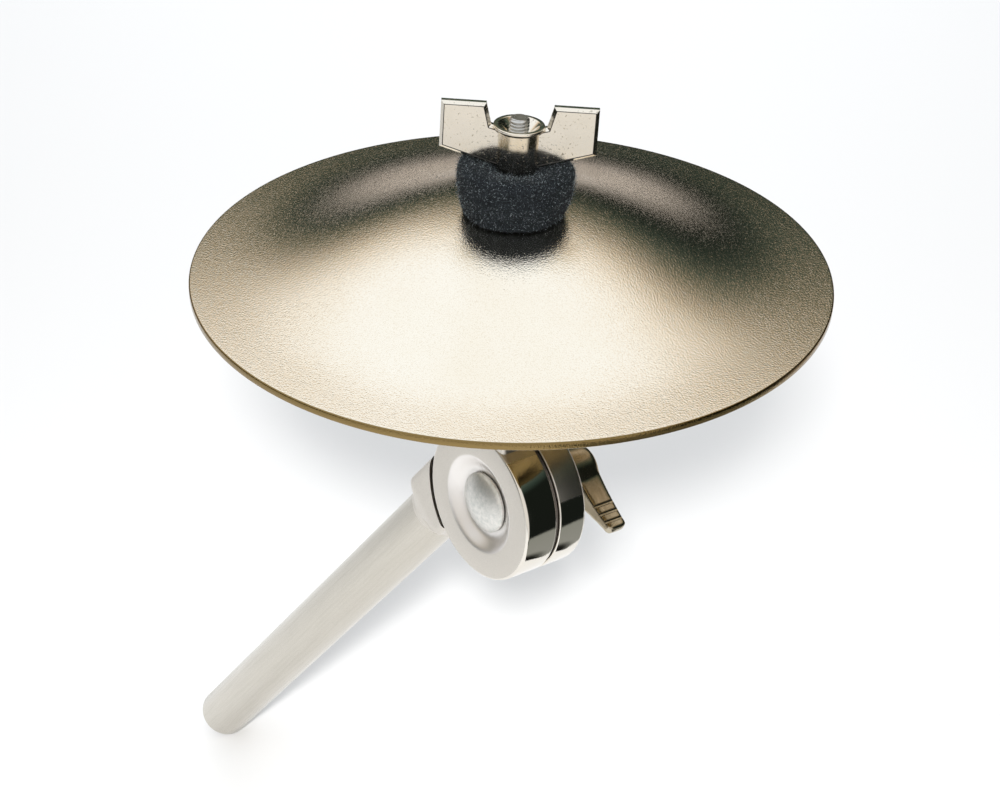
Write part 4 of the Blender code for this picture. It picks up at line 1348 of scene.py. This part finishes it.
@dataclass
class PivotClamp:
    """The pivot bolt, its washers and the winged clamp nut."""

    seat: float = -9.3
    head: float = 19.6
    head_edge: float = 1.1
    dome: float = 2.5
    shank: float = 8.0
    foot: float = 14.9
    hub_foot: float = 17.4
    hub_top: float = 16.2
    hub_height: float = 16.2
    bore_depth: float = 12.6
    span: float = 50.2
    root: float = 6.4
    tip: float = 8.1
    tip_width: float = 7.0
    thickness: float = 3.3
    root_thickness: float = 15.0
    flare: float = 1.8
    groove_pitch: float = 3.0
    groove_count: int = 3
    groove_radius: float = 0.75
    bolt_finish: Finish = TUMBLED
    swell_cuts: int = 16
    groove_reach: float = 9.0
    voxel: float = 0.45
    smoothing: int = 6
    bolt_sharp: float = 30.0
    finish: Finish = SatinChrome(
        slot=Slot.CHROME,
        colour=(0.500, 0.445, 0.345),
        stain=(0.420, 0.370, 0.270),
        satin=(0.16, 0.24),
        line_size=1.2,
    )

    def bolt(self) -> Shape:
        """The domed head and the shank."""
        head = self.head / 2
        radius = (head**2 + self.dome**2) / (2 * self.dome)
        edge = self.seat - self.head_edge
        centre = edge + radius - self.dome
        spread = math.asin(head / radius)
        dome = []
        for step in range(17):
            angle = -math.pi / 2 + spread * (1 - step / 16)
            dome.append((max(radius * math.cos(angle), 0.0), centre + radius * math.sin(angle)))
        tip = self.foot + self.bore_depth - 0.3
        side = filleted([(self.shank / 2, self.seat, 0.0), (head, self.seat, 0.3), (head, edge + 0.25, 0.0)])
        profile = [(0.0, tip), (self.shank / 2 - 0.6, tip), (self.shank / 2, tip - 0.6), *side]
        return along_pivot(lathe([*profile, *dome[1:-1], (0.0, edge - self.dome)], 96))

    def hub(self) -> Shape:
        """The clamp's hub with its rounded crown and blind bore."""
        crown = self.foot + self.hub_height
        bore = self.shank / 2 + 0.3
        corners = [
            (0.0, crown, 0.0),
            (self.hub_top / 2, crown, 2.3),
            (self.hub_foot / 2, self.foot + 3.2, 0.8),
            (self.hub_foot / 2, self.foot, 0.5),
            (bore, self.foot, 0.3),
            (bore, self.foot + self.bore_depth, 0.0),
            (0.0, self.foot + self.bore_depth, 0.0),
        ]
        return along_pivot(lathe(filleted(corners, 7), 96))

    def outline(self) -> list[Point]:
        """Outline of one wing, with a rounded tip."""
        tip = self.span / 2
        low = self.foot + self.tip
        high = low + self.tip_width
        crown = self.foot + self.hub_height - 0.5
        start = self.hub_top / 4 + 1.4
        corners = [
            (start, self.foot + self.root, 0.0),
            (tip, low, 1.5),
            (tip, high, 1.5),
            (start, crown, 0.0),
        ]
        return filleted(corners)

    def swell(self, across: float) -> float:
        """How many times thicker than its tip a wing is, at this place across the pivot."""
        share = min(abs(across) / (self.span / 2), 1.0)
        return 1 + (self.root_thickness / self.thickness - 1) * (1 - share) ** self.flare

    def wing(self, side: int) -> Shape:
        """One wing, thicker towards the hub."""
        bm = plate([(side * x, z) for x, z in self.outline()], self.thickness, 0.5)
        for cut in range(1, self.swell_cuts):
            whole = bm.verts[:] + bm.edges[:] + bm.faces[:]
            place = side * self.span / 2 * cut / self.swell_cuts
            bmesh.ops.bisect_plane(bm, geom=whole, plane_co=(place, 0.0, 0.0), plane_no=(1.0, 0.0, 0.0))
        for vert in bm.verts:
            vert.co.y *= self.swell(vert.co.x)
        bmesh.ops.recalc_face_normals(bm, faces=bm.faces[:])
        return moved(bm, turn(90.0, "Y"))

    def grooves(self) -> list[Shape]:
        """Cutters for the finger grooves on both faces of both wings."""
        middle = self.foot + self.tip + self.tip_width / 2
        cutters = []
        for side in (1, -1):
            for face in (1, -1):
                for count in range(self.groove_count):
                    across = side * (self.span / 2 - self.groove_pitch * (count + 1))
                    away = self.swell(across) * self.thickness / 2 + self.groove_radius * 0.25
                    cutter = cylinder(self.groove_radius, -self.groove_reach, self.groove_reach, 20)
                    place = turn(90.0, "Y") @ Matrix.Translation((across, face * away, middle))
                    cutters.append(moved(cutter, place))
        return cutters

    def build(self) -> None:
        """Build the bolt and the clamp nut, and dress the washers."""
        settle("carriage_bolt", self.bolt(), SETTING.pivot, self.bolt_finish, Body.HEAD, ["pivot_bolt"], self.bolt_sharp)
        clamp = cast(joined([self.hub(), self.wing(1), self.wing(-1)]), self.voxel, self.smoothing)
        clamp = carved(clamp, self.grooves())
        settle("clamp_nut", clamp, SETTING.clamp, self.finish, Body.CLAMP_WING, ["clamp_wing"])
        axis = SETTING.pivot @ turn(90.0, "Y")
        dress_node("thrust_washer", ZINC, axis)
        dress_node("wave_washer", SPRING, axis)


@dataclass
class StandArm:
    """The tube that a stand's clamp holds, with its plug and pin."""

    diameter: float = 19.05
    wall: float = 1.2
    top: float = 28.0
    end_round: float = 0.35
    finish: Finish = SatinChrome(colour=(0.630, 0.600, 0.540), stain=(0.550, 0.520, 0.460))

    def build(self) -> None:
        """Draw the tube with softened ends, and dress the plug and the pin."""
        outer = self.diameter / 2
        inner = outer - self.wall
        foot = -SETTING.arm_reach
        corners = [
            (inner, foot + 20.0, 0.0),
            (inner, foot, self.end_round),
            (outer, foot, self.end_round),
            (outer, -self.top, self.end_round),
            (inner, -self.top, self.end_round),
            (inner, foot + 20.01, 0.0),
        ]
        bm = lathe(filleted(corners), 128, ring=True)
        moved(bm, Matrix.Translation((SETTING.arm_middle, SETTING.arm_offset, 0.0)))
        settle("stand_tube", bm, SETTING.arm, self.finish, Body.ARM, ["arm_tube"])
        dress_node("arm_end_plug", NYLON, SETTING.arm)
        dress_node("arm_roll_pin", SPRING, SETTING.arm)


@dataclass(frozen=True)
class Lamp:
    """One soft lamp."""

    name: str
    place: Corner
    aim: Corner
    size: Point
    power: float
    colour: Colour = (1.0, 1.0, 1.0)
    beam: float = 180.0

    def build(self) -> None:
        """Hang the lamp and turn it to its aim."""
        data = bpy.data.lights.new(self.name, "AREA")
        data.shape = "RECTANGLE"
        data.size, data.size_y = self.size
        data.energy = self.power
        data.color = self.colour
        data.spread = math.radians(self.beam)
        lamp = bpy.data.objects.new(self.name, data)
        lamp.location = self.place
        lamp.visible_camera = False
        lamp.visible_glossy = False
        lamp.rotation_euler = (Vector(self.aim) - Vector(self.place)).to_track_quat("-Z", "Y").to_euler()
        bpy.context.scene.collection.objects.link(lamp)


@dataclass(frozen=True)
class Card:
    """A plain card in the surroundings: its colour, and the Y and Z of a direction where it starts and is full."""

    colour: Colour
    side: Point
    height: Point


@dataclass
class Studio:
    """Pale floor, soft lamps, plain surroundings and the camera."""

    floor_edge: Sequence[Point] = (
        (-1.30, -0.80),
        (0.11, -0.80),
        (0.11, 0.05),
        (0.42, 0.05),
        (0.42, 1.30),
        (-1.30, 1.30),
    )
    floor_colour: Colour = (0.690, 0.702, 0.720)
    floor_glow: float = 0.020
    sky_lean: float = -0.27
    sky_span: Point = (-1.02, 0.80)
    sky: Sequence[tuple[float, Colour]] = (
        (-0.990, (0.012, 0.012, 0.010)),
        (-0.965, (0.330, 0.335, 0.310)),
        (-0.760, (0.300, 0.310, 0.280)),
        (-0.730, (0.010, 0.012, 0.010)),
        (0.210, (0.010, 0.013, 0.010)),
        (0.310, (0.038, 0.057, 0.045)),
        (0.395, (0.080, 0.106, 0.080)),
        (0.455, (0.138, 0.148, 0.108)),
        (0.520, (0.500, 0.380, 0.260)),
        (0.580, (0.820, 0.680, 0.520)),
        (0.650, (0.990, 0.950, 0.880)),
        (0.740, (1.050, 1.085, 1.120)),
    )
    cards: Sequence[Card] = (
        Card((0.930, 0.905, 0.870), (-0.45, -0.75), (-0.60, -0.50)),
        Card((0.680, 0.610, 0.550), (0.26, 0.46), (0.05, -0.10)),
    )
    rim_middle: Corner = (0.110937, -0.128223, 0.274934)
    camera_offset: Corner = (-0.002585, -0.617160, 0.334508)
    camera_tilt: float = 31.690
    camera_roll: float = 1.274
    lens: float = 85.0
    lamps: Sequence[Lamp] = (
        Lamp("key", (0.085, -1.061, 0.895), (0.11, 0.00, 0.14), (0.10, 0.08), 5.0, (1.0, 0.97, 0.93), 90.0),
        Lamp("backdrop", (0.11, 1.25, 0.95), (0.11, 0.75, 0.0), (1.20, 0.50), 2.7, beam=110.0),
    )

    def build_floor(self) -> None:
        """A wide pale floor just under the object, seen as near white and keeping the shadow."""
        bm = bmesh.new()
        middle_x, middle_y, _ = self.rim_middle
        height = CAD_BOX[0][2] - 0.5 * MM
        edge = [(middle_x + across, middle_y + along, height) for across, along in self.floor_edge]
        bm.faces.new([bm.verts.new(corner) for corner in edge])
        floor = stand("studio_floor", bm)
        bench = Bench("studio floor")
        bench.fixed(Base_Color=self.floor_colour, Roughness=1.0, Specular_IOR_Level=0.0)
        bench.fixed(Emission_Color=(1.0, 1.0, 1.0))
        path = bench.nodes.new("ShaderNodeLightPath")
        seen = bench.combine("MAXIMUM", path.outputs["Is Camera Ray"], path.outputs["Is Glossy Ray"])
        bench.wire(bench.combine("MULTIPLY", seen, self.floor_glow), bench.shader.inputs["Emission Strength"])
        floor.data.materials.append(bench.material)

    def build_sky(self) -> None:
        """Dim walls and a pale ceiling, and a plain white behind the floor's edge for the camera."""
        world = bpy.data.worlds.new("surroundings")
        bpy.context.scene.world = world
        world.use_nodes = True
        tree = Tree(world.node_tree)
        spot = tree.node("TexCoord", "Generated", {})
        lean = tree.dot(spot, (self.sky_lean, 0.0, 1.0))
        shade = tree.node("ValToRGB", "Color", {"Fac": tree.spread(lean, self.sky_span)})
        stops = shade.node.color_ramp.elements
        low, high = self.sky_span
        for index, (level, colour) in enumerate(self.sky):
            position = (level - low) / (high - low)
            stop = stops[index] if index < len(stops) else stops.new(position)
            stop.position = position
            stop.color = (*colour, 1.0)
        for card in self.cards:
            across = tree.spread(tree.along(spot, "Y"), card.side, kind="SMOOTHSTEP")
            up = tree.spread(tree.along(spot, "Z"), card.height, kind="SMOOTHSTEP")
            shade = tree.blend(tree.combine("MULTIPLY", across, up), shade, card.colour)
        white = tree.blend(tree.node("LightPath", "Is Camera Ray", {}), shade, (1.0, 1.0, 1.0))
        tree.wire(white, tree.nodes["Background"].inputs["Color"])

    def build_camera(self) -> None:
        """The camera, at the height, turn and distance of the picture."""
        tilt = math.radians(self.camera_tilt)
        roll = math.radians(self.camera_roll)
        forward = Vector((0.0, math.cos(tilt), -math.sin(tilt)))
        level = Vector((1.0, 0.0, 0.0))
        up = Vector((0.0, math.sin(tilt), math.cos(tilt)))
        right = level * math.cos(roll) + up * math.sin(roll)
        top = up * math.cos(roll) - level * math.sin(roll)
        data = bpy.data.cameras.new("camera")
        data.lens = self.lens
        data.sensor_width = 36.0
        data.sensor_fit = "HORIZONTAL"
        data.clip_start = 0.01
        camera = bpy.data.objects.new("camera", data)
        place = Vector(self.rim_middle) + Vector(self.camera_offset)
        camera.matrix_world = Matrix.Translation(place) @ Matrix((right, top, -forward)).transposed().to_4x4()
        bpy.context.scene.collection.objects.link(camera)
        bpy.context.scene.camera = camera

    def build(self) -> None:
        """Set the studio up."""
        bpy.context.scene.view_settings.view_transform = "Standard"
        self.build_floor()
        self.build_sky()
        self.build_camera()
        for lamp in self.lamps:
            lamp.build()


def main() -> None:
    """Build the object, piece by piece, and the studio round it."""
    logging.basicConfig(level=logging.INFO, format="%(name)s: %(message)s")
    Studio().build()
    bell = BellPlate()
    bell.build()
    upper = FeltWasher(
        name="top_felt",
        body=Body.UPPER_FELT,
        nodes=["upper_felt"],
        bell=bell,
        diameter=34.4,
        foot_diameter=29.6,
        low=99.95,
        high=115.45,
        rounding=2.6,
        dent=1.8,
        sink=1.7,
    )
    upper.build()
    lower = FeltWasher(
        name="under_felt",
        body=Body.HEAD,
        nodes=["lower_felt"],
        bell=bell,
        diameter=32.0,
        foot_diameter=31.0,
        low=88.0,
        high=97.6,
        rounding=1.4,
        rests_below_bell=True,
        fibres=1500,
    )
    lower.build()
    ThumbNut().build()
    Spindle().build()
    Tilter().build()
    PivotClamp().build()
    StandArm().build()


if __name__ == "__main__":
    main()
